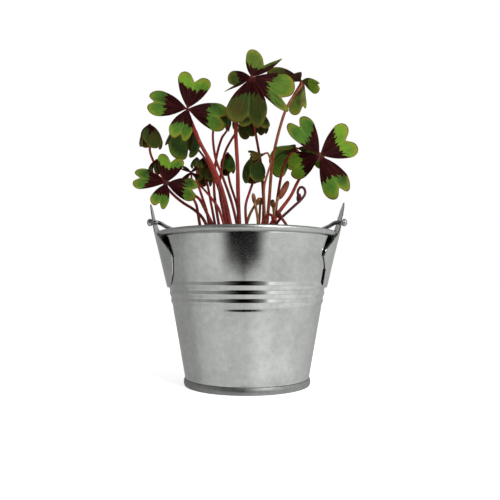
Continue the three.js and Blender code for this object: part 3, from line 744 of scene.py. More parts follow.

# %% [markdown]
# ## Plant: leaf markings
# A leaflet is a heart that narrows to the hub. Its purple zone ends in teeth that follow the veins,
# the rest is green, lighter towards the rounded lobes, and a thin red line runs round the edge. The
# pattern can't be painted in object space, because every leaflet points another way, so each leaflet
# has a UV map: U runs across it from edge to edge and V from the hub to the edge of the lobes. Lines
# of equal U fan out from the hub just as the veins do. Four numbers are stored on each point as well:
# span, the distance from the hub as a share of the leaflet's length, which sets where the purple
# ends; shade, from bright green to olive, which is painted shade and painted light besides the leaf's
# own tone, darker where a leaflet lies in shadow and brighter where it is in the light; mark, how far
# the purple reaches; and warm, how much the green leans to yellow, as it does where light comes
# through. So one material serves every leaf.

# %% Leaf markings: what the pattern is made from
leaf_marks, given, result = new_tree("leaf markings", "ShaderNodeTree", {
    "Color": ["Bright", "Green", "Dark", "Olive", "Vein", "Edge", "Tip", "Hub", "Purple", "Purple Glow"],
    "Float": ["Shade Offset", "Purple Reach", "Purple Strength", "Tooth Depth", "Midrib", "Midrib Width"],
}, SURFACE)
VEINS_EACH_SIDE = 6.0
WIDE_TEETH_EACH_SIDE = 2.7
MIDRIB_CORE = 0.012
VEIN_SHARE = 0.14
place = coordinates(leaf_marks)
u, reach, _ = coordinates(leaf_marks, "UV").parts()
across = u.maths("MULTIPLY_ADD", 2.0, -1.0).maths("ABSOLUTE")
span, shade, mark, warm = (stored(leaf_marks, name) for name in ("span", "shade", "mark", "warm"))
fan = flow(leaf_marks, "ShaderNodeCombineXYZ", {0: u * 16.0, 1: reach * 1.6, 2: shade * 7.0})
streak = fan.noise(1.0, 3.0, 0.6)
wander = place.noise(190.0)
mottle = place.noise(700.0, 3.0, 0.6)
cloud = place.noise(120.0)
ray = (across * VEINS_EACH_SIDE + wander * 0.8).maths("PINGPONG", 0.5) * 2.0
vein = ray.fade(0.0, 0.22, 1.0, 0.0) * VEIN_SHARE
midrib = across.fade(MIDRIB_CORE, given("Midrib Width"), 1.0, 0.0) * given("Midrib")
line_share = vein.maths("MAXIMUM", midrib)

# %% Leaf markings: the purple zone
SIDES_RISE, MARK_PULL, CLOUD_PULL = 0.16, 0.35, 0.2
wide_tooth = (across * WIDE_TEETH_EACH_SIDE + wander * 2.2).maths("PINGPONG", 0.5) * 2.0
tooth = (wide_tooth * 0.8 + (1.0 - ray) * 0.5 - 0.6) * given("Tooth Depth")
border = given("Purple Reach") + tooth + across.maths("POWER", 2.5) * SIDES_RISE
border = border + (mark - 1.0) * MARK_PULL + (cloud - 0.5) * CLOUD_PULL
purple_share = (span - border).fade(-0.01, 0.014, 1.0, 0.0) * given("Purple Strength")
purple_share = purple_share * mark.fade(0.0, 0.25)
purple = blend(streak.fade(0.42, 0.66), given("Purple"), given("Purple Glow"))
purple = blend(line_share * 0.35, purple, given("Edge"))
purple = blend(span.fade(0.03, 0.13, 0.45, 0.0), purple, given("Hub"))

# %% Leaf markings: the green, and all together
WARMTH = (1.5, 0.96, 1.0)
TIP_LIGHTER, CLOUDINESS, EDGE_LINE = -0.3, 1.25, (0.955, 0.99)
# level starts from the stored shade and the back's Shade Offset, which are painted shade and painted light;
# the tip and the clouds add the leaf's own tone
level = shade + given("Shade Offset") + reach.fade(0.72, 1.0) * TIP_LIGHTER + (cloud - 0.5) * CLOUDINESS
green = blend(level.fade(-0.1, 0.5), given("Bright"), given("Green"))
for share, paint in (
    (level.fade(0.45, 1.0), "Dark"),
    (level.fade(1.05, 1.8), "Olive"),
    (mottle.fade(0.4, 0.75, 0.0, 0.2), "Dark"),
    (streak.fade(0.48, 0.7, 0.0, 0.3), "Dark"),
    (streak.fade(0.3, 0.46, 0.22, 0.0) * level.fade(0.5, 1.1, 1.0, 0.4), "Bright"),
):
    green = blend(share, green, given(paint))
green = blend(warm, green, WARMTH, blend_type="MULTIPLY")
green = blend(line_share * level.fade(0.6, 1.6, 1.0, 0.4), green, given("Vein"))
tip_share = (reach + cloud * 0.3).fade(0.93, 1.17) * 0.62 * level.fade(0.2, 1.4, 1.0, 0.3)
green = blend(tip_share, green, given("Tip"))
edge_share = reach.fade(*EDGE_LINE).maths("MAXIMUM", across.fade(*EDGE_LINE)) * 0.6
plug(result, {
    "Colour": blend(edge_share, blend(purple_share, green, purple), given("Edge")),
    "Roughness": mottle.fade(0.3, 0.7, 0.42, 0.6),
    "Height": mottle * 0.3 - line_share,
})
print("leaf markings:", len(leaf_marks.nodes), "nodes")

# %% Leaf materials
LEAF_DEPTH = 0.0003
LEAF_SHINE = {"Specular IOR Level": 0.02}
face_values = {
    "Bright": (0.130, 0.246, 0.020), "Green": (0.064, 0.148, 0.020), "Dark": (0.024, 0.044, 0.010),
    "Olive": (0.050, 0.034, 0.007), "Vein": (0.16, 0.27, 0.05), "Edge": (0.10, 0.022, 0.010),
    "Tip": (0.24, 0.20, 0.025), "Hub": (0.13, 0.024, 0.028),
    "Purple": (0.014, 0.0022, 0.0024), "Purple Glow": (0.038, 0.0065, 0.0065),
    "Shade Offset": 0.0, "Purple Reach": 0.5, "Purple Strength": 1.0, "Tooth Depth": 0.12,
    "Midrib": 0.32, "Midrib Width": 0.05,
}
# The back's Shade Offset gives it a darker green than the face: painted shade for backs that hang in shadow.
# A leaflet with a low shade gets a bright back, painted light where light comes through.
back_values = {
    **face_values, "Purple": (0.022, 0.0055, 0.0050), "Purple Glow": (0.060, 0.014, 0.013),
    "Vein": (0.13, 0.075, 0.035), "Shade Offset": 0.55, "Purple Reach": 0.36, "Purple Strength": 0.8,
    "Tooth Depth": 0.06, "Midrib": 0.75, "Midrib Width": 0.10,
}
leaf_face = dressed("leaf face", leaf_marks, face_values, 0.5, LEAF_DEPTH, LEAF_SHINE)
leaf_back = dressed("leaf back", leaf_marks, back_values, 0.6, LEAF_DEPTH, LEAF_SHINE)
print("leaf materials:", leaf_face.name, "and", leaf_back.name)

# %% [markdown]
# ## Plant: one leaflet
# The leaflet is a grid: rows run from the hub to the edge, columns from side to side. Two round
# lobes meet in a notch that opens like a V. The flat grid is then bent: it droops at the hub,
# curls along its length and folds along its midrib. Both faces are offset from the middle surface
# along its normal, and the blade thins towards its edge.

# %% Leaflet, in millimetres
BLADE = 0.55
LEAFLET_ROOT = 0.8
ROOT_HALF_WIDTH = 0.45
BELLY = 0.12
LOBE_ACROSS = 0.27
LOBE_ALONG = 0.72
LOBE_RADIUS = 0.23
LOBE_FROM = 125
LOBE_TO = -28
NOTCH_ALONG = 0.76
NOTCH_SHARE = 0.16
WAVE = 0.018
GROOVE = 0.25
GROOVE_WIDTH = 0.5
FEEL = 0.05
LEAF_ROWS = 16
LEAF_COLUMNS = 28


# %% Flat leaflet
def flat_leaflet(length, width, lean):
    """Across and along of the grid points of a flat leaflet, t from hub to edge and v from side to side."""
    t, v = np.meshgrid(np.linspace(0, 1, LEAF_ROWS + 1), np.linspace(-1, 1, LEAF_COLUMNS + 1), indexing="ij")
    out = np.clip(np.abs(v) / NOTCH_SHARE, 0, 1)
    share = np.clip((np.abs(v) - NOTCH_SHARE) / (1 - NOTCH_SHARE), 0, 1)
    around = np.radians(LOBE_FROM + (LOBE_TO - LOBE_FROM) * share)
    tip_across = np.sign(v) * out * (LOBE_ACROSS + LOBE_RADIUS * np.cos(around)) * width * length
    tip_along = NOTCH_ALONG + out * (LOBE_ALONG + LOBE_RADIUS * np.sin(around) - NOTCH_ALONG)
    tip_along = tip_along * length * (1 + lean * np.sin(math.pi * v))
    belly = BELLY * np.sin(math.pi * t) * np.abs(v)
    across = ROOT_HALF_WIDTH * v * (1 - t) + tip_across * (t + belly)
    along = LEAFLET_ROOT + t * (tip_along - LEAFLET_ROOT)
    return across, along, t, v


# %% Bent leaflet
def bent_leaflet(across, along, length, look):
    start = math.radians(look["droop"])
    rate = math.radians(look["curl"]) / length
    angle = start + rate * along
    crease = math.radians(look["fold"]) * (1 - (1 - along / length) ** 2)
    rise = np.abs(across) * np.sin(crease)
    return np.stack([
        across * np.cos(crease),
        (np.sin(angle) - math.sin(start)) / rate + rise * np.sin(angle),
        (np.cos(angle) - math.cos(start)) / rate + rise * np.cos(angle),
    ], axis=-1)


def leaflet_arrays(length, look, chance):
    """Front and back points of one leaflet along +Y, their UVs and their span."""
    across, along, t, v = flat_leaflet(length, look["width"], look["lean"])

    def bent(more_across, more_along):
        return bent_leaflet(across + more_across, along + more_along, length, look)

    normal = np.cross(bent(FEEL, 0) - bent(-FEEL, 0), bent(0, FEEL) - bent(0, -FEEL))
    normal /= np.linalg.norm(normal, axis=-1, keepdims=True)
    wave = WAVE * length * t**2 * np.sin(5 * v + chance.uniform(0, 6.3)) * np.abs(v)
    groove = -GROOVE * np.exp(-((across / GROOVE_WIDTH) ** 2)) * np.sin(math.pi * t) ** 0.5
    middle = bent(0, 0) + normal * (wave + groove)[..., None]
    half = (0.5 * BLADE * (1 - 0.6 * np.maximum(t, np.abs(v)) ** 6))[..., None]
    uvs = np.stack([(v + 1) / 2, t], axis=-1).reshape(-1, 2)
    faces = [(middle + offset).reshape(-1, 3) for offset in (normal * half, -normal * half)]
    return np.concatenate(faces), uvs, (along / length).ravel()


# %% Turned and rolled leaflet
def turn_about(points, axis, degrees):
    turn = np.array(Matrix.Rotation(math.radians(degrees), 3, axis))
    return points @ turn.T


def rolled(points, look):
    """Turned about the leaflet's own midrib, which leaves the hub at the droop angle."""
    droop = math.radians(look["droop"] + look["curl"] / 2)
    midrib = Vector((0, math.cos(droop), -math.sin(droop)))
    return turn_about(points, midrib, look["roll"])


print("leaflet of", LEAF_ROWS, "rows and", LEAF_COLUMNS, "columns")

# %% [markdown]
# ## Plant: stems and leaves from one table
# Each row of the table is one leaf: where its hub shows in the photograph, how deep it stands, where
# its stem comes out of the soil and the points the stem passes. The points are millimetres at the
# bucket's axis as the eye sees them, and a point's depth moves it along the line of sight, so what
# the camera sees stays the same while the plant fills the pot.

# %% From the photograph's plane into the pot
EYE_DISTANCE = -EYE.y / MM
SOIL_EDGE = 73
SOIL_CROWN = 77
SOIL_LUMP = 0.8
ROOT_DEPTH = 9
COLLAR = 2
STEM_END = 0.4


def seen(point):
    across, up, depth = point
    spread = (EYE_DISTANCE + depth) / EYE_DISTANCE
    eye_across, eye_height = EYE.x / MM, EYE.z / MM
    across, up = eye_across + (across - eye_across) * spread, eye_height + (up - eye_height) * spread
    return Vector((across, depth, up))


def soil_height(x, y):
    """Height of the soil in millimetres at a place in millimetres."""
    dome = SOIL_CROWN - (SOIL_CROWN - SOIL_EDGE) * (x * x + y * y) / (RIM_RADIUS / MM) ** 2
    return dome + SOIL_LUMP * math.sin(0.55 * x + 1) * math.cos(0.47 * y - 0.6)


# %% Path and mesh of a stem
def stem_points(root, via, hub, facing, stem_end, approach):
    """A stem's points from inside the soil to its hub. via starts at the hub's end."""
    top = seen(hub)
    path = []
    for step, (across, up, *depth) in enumerate(via):
        between = root[1] + (hub[2] - root[1]) * (len(via) - step) / (len(via) + 1)
        path.insert(0, seen((across, up, *(depth or [between]))))
    surface = Vector((*root, soil_height(*root)))
    lean = (path[0] - surface).normalized()
    foot = surface - Vector((0, 0, ROOT_DEPTH)) - Vector((lean.x, lean.y, 0)) * (ROOT_DEPTH / lean.z)
    collar = surface + lean * COLLAR
    under = [top - facing * approach] if approach > stem_end else []
    return [foot, (foot + collar) / 2, collar, *path, *under, top - facing * stem_end]


def stem_mesh(points, radius, skin, chance, tip_ratio=0.72, flare=0.12):
    return rod_mesh(smooth_path([p * MM for p in points], 6), {
        "Foot Radius": radius * MM, "Tip Ratio": tip_ratio, "Spacing": 0.0014, "Sides": 12,
        "Unevenness": 0.22, "Foot Flare": flare, "Seed": chance.uniform(0, 1), "Skin": skin,
    })


print("the soil is", round(soil_height(0, 0), 1), "mm high in the middle")

# %% From a row of the table to a leaf
PLAIN_LEAFLET = dict(
    aim=0, scale=1, droop=6, fold=10, roll=0, width=1, lean=0, shade=0.5, lit=0, mark=1, skew=0, warm=0,
    curl=12,
)


def leaf_mesh(row, chance):
    faces, sides = sheet_faces(LEAF_ROWS, LEAF_COLUMNS)
    vertices, all_faces, uvs = [], [], []
    numbers = {"span": [], "shade": [], "mark": [], "warm": []}
    for turn, own in enumerate(row.get("leaflets", [()] * 4)):
        look = {key: row.get(key, usual) for key, usual in PLAIN_LEAFLET.items()}
        look.update(zip(PLAIN_LEAFLET, own))
        points, uv, span = leaflet_arrays(row["length"] * look["scale"], look, chance)
        sideways = 2 * uv[:, 0] - 1
        look["span"] = span
        # shade and its lit slope are painted shade and painted light, stored on every point of the leaflet
        for label, slope in (("span", 0), ("shade", look["lit"]), ("mark", look["skew"]), ("warm", 0)):
            values = look[label] + slope * sideways
            numbers[label] += [*values, *values]
        points = turn_about(rolled(points, look), "Z", -(row.get("spin", 0) + turn * 90 + look["aim"]))
        all_faces += [tuple(k + len(vertices) for k in face) for face in faces]
        vertices += list(points)
        uvs += [*uv, *uv]
    points = turn_about(turn_about(np.array(vertices), "X", row.get("tilt", 0)), "Z", row.get("turn", 0))
    points = (points + np.array(seen(row["hub"]))) * MM
    mesh = new_mesh("leaf", points, all_faces, [leaf_face, leaf_back], sides * 4, uvs)
    for label, values in numbers.items():
        layer = mesh.attributes.new(label, "FLOAT", "POINT")
        layer.data.foreach_set("value", np.asarray(values, np.float32))
    return mesh


def facing_of(row):
    turn = Matrix.Rotation(math.radians(row.get("turn", 0)), 3, "Z")
    return turn @ Matrix.Rotation(math.radians(row.get("tilt", 0)), 3, "X") @ UP


print("values of a leaflet:", ", ".join(PLAIN_LEAFLET))

# %% [markdown]
# ## The open and the hanging leaves
# These leaves carry the picture, so each leaflet has values of its own. A leaflet's row gives the
# values of PLAIN_LEAFLET in their order and may stop early: aim, scale, droop, fold, roll, width,
# lean, shade, lit, mark, skew and warm. shade is painted shade and painted light besides the green's
# own tone: higher and darker for a leaflet in shadow, lower and brighter for one in the light. lit is
# painted light and shade across the leaflet: how much the shade changes from one side of the leaflet
# to the other, where the fold turns one half to the light and the other away. skew is the same for
# the mark.

# %% Open and hanging leaves, in millimetres and degrees
LEAVES = [
    dict(name="upper_left", hub=(-33.5, 153.7, -18), root=(-7, -13), length=21.5, tilt=80, spin=12, stem=1.3,
        via=[(-26.4, 134.8), (-18.8, 120.6), (-13.1, 105)],
        leaflets=[
            (-1.9, 1.09, 7, 11.8, 12.1, 0.77, 0, 0.05, 0.3),
            (-7.4, 1.12, 16.8, -23.5, 17.5, 0.66, -0.01, 0.55, -0.5, 0.85),
            (-0.8, 0.96, -11.9, 29, -3.8, 0.66, -0.02, 0.42, 0, 0.86),
            (6.1, 1.19, 5, -33.1, -20.1, 0.6, 0, 0.55, 0.35),
        ]),
    dict(name="lower_left", hub=(-45.5, 112.1, -22), root=(-18, 3), length=17.5, tilt=72, spin=9, knob=1.6,
        via=[(-40.4, 104.7, -14), (-35.4, 100.8, -7), (-29.6, 97.1, 0.5), (-24.6, 92.1, 3)],
        leaflets=[
            (-3.4, 1.08, 7.9, 17.8, 13.2, 0.77, -0.01, 0.05, 0.3),
            (-7, 1.09, 21, -27.4, 19.6, 0.71, -0.01, 0.5, -0.6),
            (3.3, 0.89, -7.1, 27.8, -3.3, 0.69, -0.04, 0.35, 0, 0.9),
            (3.2, 1.05, -4.6, -4.9, 3.5, 0.67, 0.03, 0.6, 0.2),
        ]),
    dict(name="right", hub=(40.5, 127.6, -15), root=(6, -16), length=23, tilt=86, spin=58, stem=1.1,
        via=[(34, 121, 2), (28.9, 113.8, 3), (24.5, 105, -4), (17.2, 95)],
        leaflets=[
            (-0.8, 1.012, 7.5, 10.6, 12.2, 0.84, 0, 0.1),
            (-4.4, 1.19, 16.6, -21.2, 1.1, 0.63, -0.01, 0.5, -0.4, 1, -0.25),
            (17.7, 1, 34, -30.2, -12.6, 0.73, -0.01, -0.3),
            (-0.9, 1.09, 0.1, 5.2, 10.4, 0.61, 0, 0.7, 0.3, 0.8, 0.4),
        ]),
    dict(name="top", hub=(2.3, 171.5, -18), root=(-4, -5), length=24, tilt=66, spin=20, stem=1.2,
        via=[(-3.5, 158, -1), (-6.2, 146.1, -3), (-5.3, 120), (-5.1, 107.8)],
        leaflets=[
            (2.6, 1.125, 21.1, 34.1, -1.4, 0.85, -0.06, 0.5, 0, 0.75, 0.5, 0.8),
            (-5, 1.09, 27.9, 20.1, -4.6, 1.03, -0.01, 0.68, 0, 0.72, 0, 0.5),
            (-15.3, 1.13, 21.4, 27.9, 10.4, 0.91, -0.05, 1.3, 0, 0.55, 0, 0.3),
            (6.2, 0.81, 42.2, 40.3, -16.6, 0.77, 0.02, 0.85, 0, 1, 0, 0.7),
        ]),
    dict(name="behind_upper_left", hub=(-31.9, 147.2, -4), root=(-10, -3), length=19.4, shade=0.95,
        mark=0.35, tilt=57, turn=22, spin=263, stem=0.8, approach=14, droop=47, curl=24, fold=-39,
        width=1.05, via=[(-30, 133.5, 15), (-21.6, 122.5, 4), (-14.1, 102.6)],
        leaflets=[(-12, 1.26), (-18,), (13, 1.19), (8,)]),
    dict(name="top_right", hub=(30, 169.2, 6), root=(10, 5), length=19, tilt=-48, curl=25,
        via=[(27.5, 163, 1), (22.5, 155, 0), (19, 145.4, -1), (14.4, 125.7, -2), (12.3, 102.2, 3)],
        leaflets=[
            (11.1, 1.22, -25.5, 34.4, -41.2, 0.76, 0, 0, 0, 1, 0, 1),
            (1.4, 0.72, 18.5, -40.8, 9.5, 0.81, 0, -0.9, 0, 1, 0, 0.2),
            (40, 0.7, 30, -22, 0, 0.7, 0, 0.9, 0, 2.4),
            (-17.9, 1.21, 22.2, 58.9, -18.6, 0.54, -0.12, 0.45, 0, 1.2, 0, 1),
        ]),
    dict(name="under_top", hub=(3.9, 151.9, 6), root=(8, 18), length=17.2, shade=0.9, mark=0.2, tilt=-18,
        turn=-6, spin=8, droop=20, curl=68, fold=-34, width=0.88,
        via=[(6.2, 131.7, 14), (7.8, 122.2, 19), (9.2, 97, 18)],
        leaflets=[(3, 0.92), (), (-18, 1.3), (8, 1.1)]),
    dict(name="nodding", hub=(27.7, 131.5, 12), root=(14, 12), length=21, shade=-0.3, mark=0.8, tilt=-23,
        turn=3, spin=21, approach=4, droop=7, curl=36, fold=-39, width=0.9,
        via=[(25, 128.7, 6), (22, 125.2, 4), (19.9, 119.6, 4), (17.2, 105.4, 8)],
        leaflets=[(-17, 0.7), (-10,), (35, 1.1), (8, 1.05)]),
]
print(len(LEAVES), "open and hanging leaves")

# %% [markdown]
# ## The folded and the young leaves
# Most leaves behind and below are folded like shut umbrellas: each leaflet hangs down along the stem
# and is creased sharply on its midrib. They share one preset, and their rows say what is different.
# The preset's shade gives them a darker green, which is painted shade for leaves that stand in the
# shadow of the others, besides an olive tone of their own. In a young leaf the leaflets are small
# and still narrow.

# %% Folded and young leaves, in millimetres and degrees
FOLDED = dict(droop=15, curl=95, fold=-72, width=0.56, stem=0.9, approach=10, shade=1, mark=0.5)
FOLDED_LEAVES = [
    dict(name="far_left", hub=(-54.5, 144.7, 2), root=(-13, -18), length=16.8, shade=1.5, mark=0.4,
        tilt=5, spin=30, droop=19, curl=79, fold=-59, width=0.93,
        via=[(-54.2, 128.9, 5), (-47.6, 116.1, 7), (-39.8, 109.3, 4), (-27.6, 104, -5), (-23.4, 97, -11)],
        leaflets=[(0, 0.88), (0, 1.14), (-8, 0.93), ()]),
    dict(name="behind_lower_left", hub=(-50.5, 125, -6), root=(-24, -7), length=11, shade=1.1, mark=0.8,
        approach=8, via=[(-45, 113, -6), (-34.2, 107.2, -5.5), (-29.1, 101.6, -5), (-27.3, 93.6, -6)]),
    dict(name="behind_right_of_upper_left", hub=(-17, 155, 5), root=(-3, 2), length=16,
        via=[(-19, 141.5, 4), (-17.6, 125.7, 3), (-13.6, 115.3, 2), (-8.5, 100.7, 2)]),
    dict(name="behind_top_left", hub=(-11, 152, 16), root=(-14, 8), length=15,
        via=[(-14.3, 137, 10), (-17.3, 125.7, 8), (-18.5, 108.2, 7)]),
    dict(name="behind_top", hub=(-1, 157, 23), root=(-9, 12), length=15,
        via=[(-6.5, 140, 16), (-12.5, 129, 12.5), (-14.5, 118, 12), (-15.5, 108.2, 11)]),
    dict(name="low_left", hub=(-24.1, 126.5, 14), root=(-16, 14), length=16.6, shade=1.45, mark=0.4,
        turn=-11, spin=15, droop=30, curl=65, fold=-60, width=0.82,
        via=[(-22.2, 111, 14), (-20.2, 100.7, 14)], leaflets=[(-14, 1.25), (-11, 1.12), (), (5, 0.84)]),
    dict(name="low_middle", hub=(-10.9, 128.8, 20), root=(-3, 19), length=13.5, shade=0.8, mark=0.2,
        tilt=-4, spin=-46, droop=31, curl=78, fold=-56, width=0.73,
        via=[(-9.6, 112, 20), (-5.7, 99.3, 19)], leaflets=[(0, 1.22), (), (-11, 1.18), (19,)]),
    dict(name="low_right", hub=(4, 127.2, 9), root=(1, -2), length=19.3, shade=1.05, mark=0.1, spin=27,
        approach=12, droop=32, curl=76, fold=-45, width=0.9,
        via=[(1.5, 107.6, 6), (-0.9, 98.7, 1)], leaflets=[(5,), (-7, 0.85), (-7, 1.07), ()]),
    dict(name="young_left", hub=(-31.4, 118.2, -4), root=(-9, -21), length=8, shade=1.6, mark=1.3, tilt=60,
        spin=40, stem=0.8, approach=6, droop=10, curl=10, fold=25, width=0.4,
        via=[(-26.2, 110.7, -6), (-18.8, 102.1, -12), (-15.4, 96.5, -18)]),
    dict(name="young_left_back", hub=(-28.2, 126, 4), root=(-20, 9), length=8, fold=-40,
        via=[(-28.9, 116.2, 6), (-25.4, 105, 7), (-22.5, 95.6, 9)]),
    dict(name="young_middle", hub=(8.5, 128, -4), root=(11, -6), length=8.5, shade=1.7, mark=0, tilt=110,
        turn=-90, stem=0.8, approach=3, droop=-55, curl=-12, fold=-12, width=0.55,
        via=[(12.3, 127.3), (13.3, 124), (12, 119.1), (9.6, 110.5), (9.6, 100)]),
]
LEAVES += [{**FOLDED, **row} for row in FOLDED_LEAVES]
print(len(FOLDED_LEAVES), "folded and young leaves")

# %% Leaves and stems
KNOB_FLATNESS = 0.65
BROWN_STEMS = ("top_right", "young_middle")
for number, row in enumerate(LEAVES):
    chance = random.Random(100 + number)
    facing = facing_of(row)
    points = stem_points(row["root"], row["via"], row["hub"], facing, STEM_END, row.get("approach", 6))
    skin = brown_skin if row["name"] in BROWN_STEMS else red_skin
    stem = stem_mesh(points, row.get("stem", 1), skin, chance)
    finish_piece(joined(row["name"] + "_stem", [stem]), "pot", "stem_" + row["name"])
    radius = row.get("knob", 0.9) * MM
    knob = blunt_ball(seen(row["hub"]) * MM, facing, radius, KNOB_FLATNESS * radius, hub_skin, 12)
    leaf = joined(row["name"] + "_leaf", [leaf_mesh(row, chance), knob])
    finish_piece(leaf, "pot", "leaf_" + row["name"])
print(len(LEAVES), "leaves")

# %% [markdown]
# ## The shoots
# New growth comes up between the stems: a stalk with a narrow bud whose leaflets are still wrapped
# together. The bud is a spindle with creases where the leaflets meet, turned about the stalk's end.

# %% Shoots
# Name, root, bud radius and half length, skins of stalk and bud, and the stalk's points from the top
SHOOTS = [
    ("folded", (13, -1), 2.0, 6, ochre_skin, brown_skin, [(20.5, 108.2, 2), (18.2, 105, 1), (16, 99.3, 0)]),
    ("curled", (11, -19), 1.4, 2.2, hub_skin, hub_skin, [
        (28.9, 104, -13), (28.3, 107.3, -13.5), (29.8, 109.9, -14), (31.8, 109.2, -15),
        (32.5, 106.3, -16), (30.3, 103, -17), (24.5, 97.6, -18), (16.5, 89.6, -19)]),
    ("pink", (5, -9), 1.3, 3, ochre_skin, ochre_skin, [(3.8, 103.4, -10), (5, 97.6, -10), (6, 90.7, -9)]),
    ("ochre", (-3, 8), 1.3, 3, ochre_skin, ochre_skin, [(5.7, 101.5, 2), (4.1, 99.3, 4), (0.9, 93, 6)]),
    ("back_left", (6, 24), 1.6, 2.4, ochre_skin, ochre_skin, [(7.4, 101.8, 22), (7, 94, 23)]),
    ("back_right", (17, 20), 1.6, 2.4, ochre_skin, ochre_skin, [(14.3, 100.7, 18), (15, 94, 19)]),
    ("hooked", (7, -25), 1.2, 2, red_skin, red_skin, [
        (15.1, 91.5, -25), (13.8, 94, -25), (12, 94.7, -25), (8.7, 90, -25)]),
    ("short", (26, -21), 1.5, 2.5, red_skin, red_skin, [(17.6, 94.5, -24), (21.4, 89.6, -23)]),
]
CREASE_DEPTH = 0.14
CREASE_TWIST = 120
SHOOT_RADIUS = 0.8


def bud_mesh(centre, along, radius, half_length, skin):
    """A spindle with four creases, which are the edges of the leaflets wrapped together."""
    mesh = blunt_ball(Vector((0, 0, 0)), UP, radius, half_length, skin)
    for vertex in mesh.vertices:
        angle = math.atan2(vertex.co.y, vertex.co.x)
        ridge = abs(math.sin(2 * angle + CREASE_TWIST * vertex.co.z))
        crease = 1 - CREASE_DEPTH + CREASE_DEPTH * ridge
        vertex.co.x *= crease
        vertex.co.y *= crease
    mesh.transform(Matrix.Translation(centre) @ UP.rotation_difference(along).to_matrix().to_4x4())
    return mesh


for number, (name, root, radius, half_length, stalk_skin, bud_skin, via) in enumerate(SHOOTS):
    chance = random.Random(300 + number)
    points = stem_points(root, via[1:], via[0], UP, 0, 0)
    stalk = stem_mesh(points, SHOOT_RADIUS, stalk_skin, chance, 0.9, 0.1)
    along = (points[-1] - points[-3]).normalized()
    bud = bud_mesh(points[-1] * MM, along, radius * MM, half_length * MM, bud_skin)
    shoot = joined(name + "_shoot", [stalk, bud])
    finish_piece(shoot, "pot", "shoot_" + name)
print(len(SHOOTS), "shoots")

# %% [markdown]
# ## Soil
# Potting soil is a crumbly mix of peat, bark and a little grit. From above it shows round the stems.
# The surface is a fine disc that follows the CAD's soil height, with noise on it, and a Geometry
# Nodes tree strews crumbs over it, so that they are seeded and even.

# %% Soil material
soil_dark, tree, shader = new_material("potting soil")
DEEP_PEAT, PEAT, GRIT = (0.012, 0.007, 0.004), (0.055, 0.032, 0.018), (0.22, 0.16, 0.10)
place = coordinates(tree)
crumbs = place.noise(420.0, 4.0, 0.7)
flecks = place.noise(1300.0)
tone = blend(crumbs.fade(0.35, 0.65), DEEP_PEAT, PEAT)
tone = blend(flecks.fade(0.66, 0.72), tone, GRIT)
plug_surface(tree, shader, tone, flecks.fade(0.3, 0.7, 0.8, 0.98), crumbs, 0.8, 0.0006)
print("soil material ready")

# %% Soil plug
SOIL_SIDES = 96
SOIL_RINGS = 34
SOIL_ROUGHNESS = 0.35
SHOULDER_DROP = 1.2
EDGE_GAP = 0.0004


def soil_plug():
    """The soil from the bucket's floor to its rough surface, as one closed mesh."""
    chance = random.Random(7)
    shoulder = (SOIL_EDGE - SHOULDER_DROP) * MM
    edge = wall_radius(shoulder) - SHEET - CLEARANCE
    bottom = BASE_LIFT + SHEET + CLEARANCE
    sides, rings = SOIL_SIDES, SOIL_RINGS
    vertices = [(0, 0, bottom)]
    for radius, height in ((FLOOR_RADIUS - EDGE_GAP, bottom), (edge, shoulder)):
        vertices += [(radius * x, radius * y, height) for x, y in circle(sides)]
    for ring in range(rings, 0, -1):
        radius = (edge - EDGE_GAP) * ring / rings
        for x, y in circle(sides):
            height = soil_height(radius * x / MM, radius * y / MM)
            height += chance.uniform(-SOIL_ROUGHNESS, SOIL_ROUGHNESS)
            vertices.append((radius * x, radius * y, height * MM))
    vertices.append((0, 0, soil_height(0, 0) * MM))
    last = 1 + (rings + 1) * sides
    faces = [(0, 1 + (k + 1) % sides, 1 + k) for k in range(sides)] + ring_faces(1, rings + 1, sides)
    faces += [(last + k, last + (k + 1) % sides, len(vertices) - 1) for k in range(sides)]
    return linked("soil_surface", new_mesh("soil_surface", vertices, faces, [soil_dark]))


# %% Crumbs
SMALLEST, LARGEST = (0.35, 0.35, 0.25), (1.2, 1.2, 0.8)
FULL_TURN = (6.3, 6.3, 6.3)
CRUMBS, given, result = new_tree("crumbs on the soil", "GeometryNodeTree", {
    "Geometry": ["Soil"], "Float": ["Density", "Crumb Size", "Lowest"], "Int": ["Seed"],
    "Material": ["Skin"],
}, {"Geometry": ["Crumbs"]})
height = flow(CRUMBS, "GeometryNodeInputPosition").parts()[2]
is_top = flow(CRUMBS, "FunctionNodeCompare", {0: height, 1: given("Lowest")}, operation="GREATER_THAN")
points = flow(CRUMBS, "GeometryNodeDistributePointsOnFaces", {
    "Mesh": given("Soil"), "Selection": is_top, "Density": given("Density"), "Seed": given("Seed"),
})
crumb = flow(CRUMBS, "GeometryNodeMeshIcoSphere", {"Radius": given("Crumb Size"), "Subdivisions": 1})
size, turn = (
    flow(CRUMBS, "FunctionNodeRandomValue", {0: low, 1: high, "Seed": given("Seed")},
         data_type="FLOAT_VECTOR")
    for low, high in ((SMALLEST, LARGEST), ((0, 0, 0), FULL_TURN))
)
strewn = flow(CRUMBS, "GeometryNodeInstanceOnPoints", {
    "Points": points, "Instance": crumb, "Rotation": turn, "Scale": size,
})
end_tree(CRUMBS, result, strewn, given("Skin"))

surface = soil_plug()
crumb_mesh = grown(surface, CRUMBS, {
    "Density": 260000.0, "Crumb Size": 0.0009, "Lowest": (SOIL_EDGE - 1) * MM, "Seed": 11, "Skin": soil_dark,
})
print("crumbs with", len(crumb_mesh.polygons), "faces")
soil_mesh = surface.data
bpy.data.objects.remove(surface)
soil = joined("soil_and_crumbs", [soil_mesh, crumb_mesh])
finish_piece(soil, "pot", "soil")

# %% [markdown]
# ## Studio
# The photograph is cut out on pure white and lit softly, a little more from the right. Metal shows
# mostly what it mirrors, so the room matters more than the lamps, and the lamp from the left is not
# mirrored at all. The floor is plain and pale; the metal doesn't mirror it, because the lower half
# of the room already stands for a lit table.

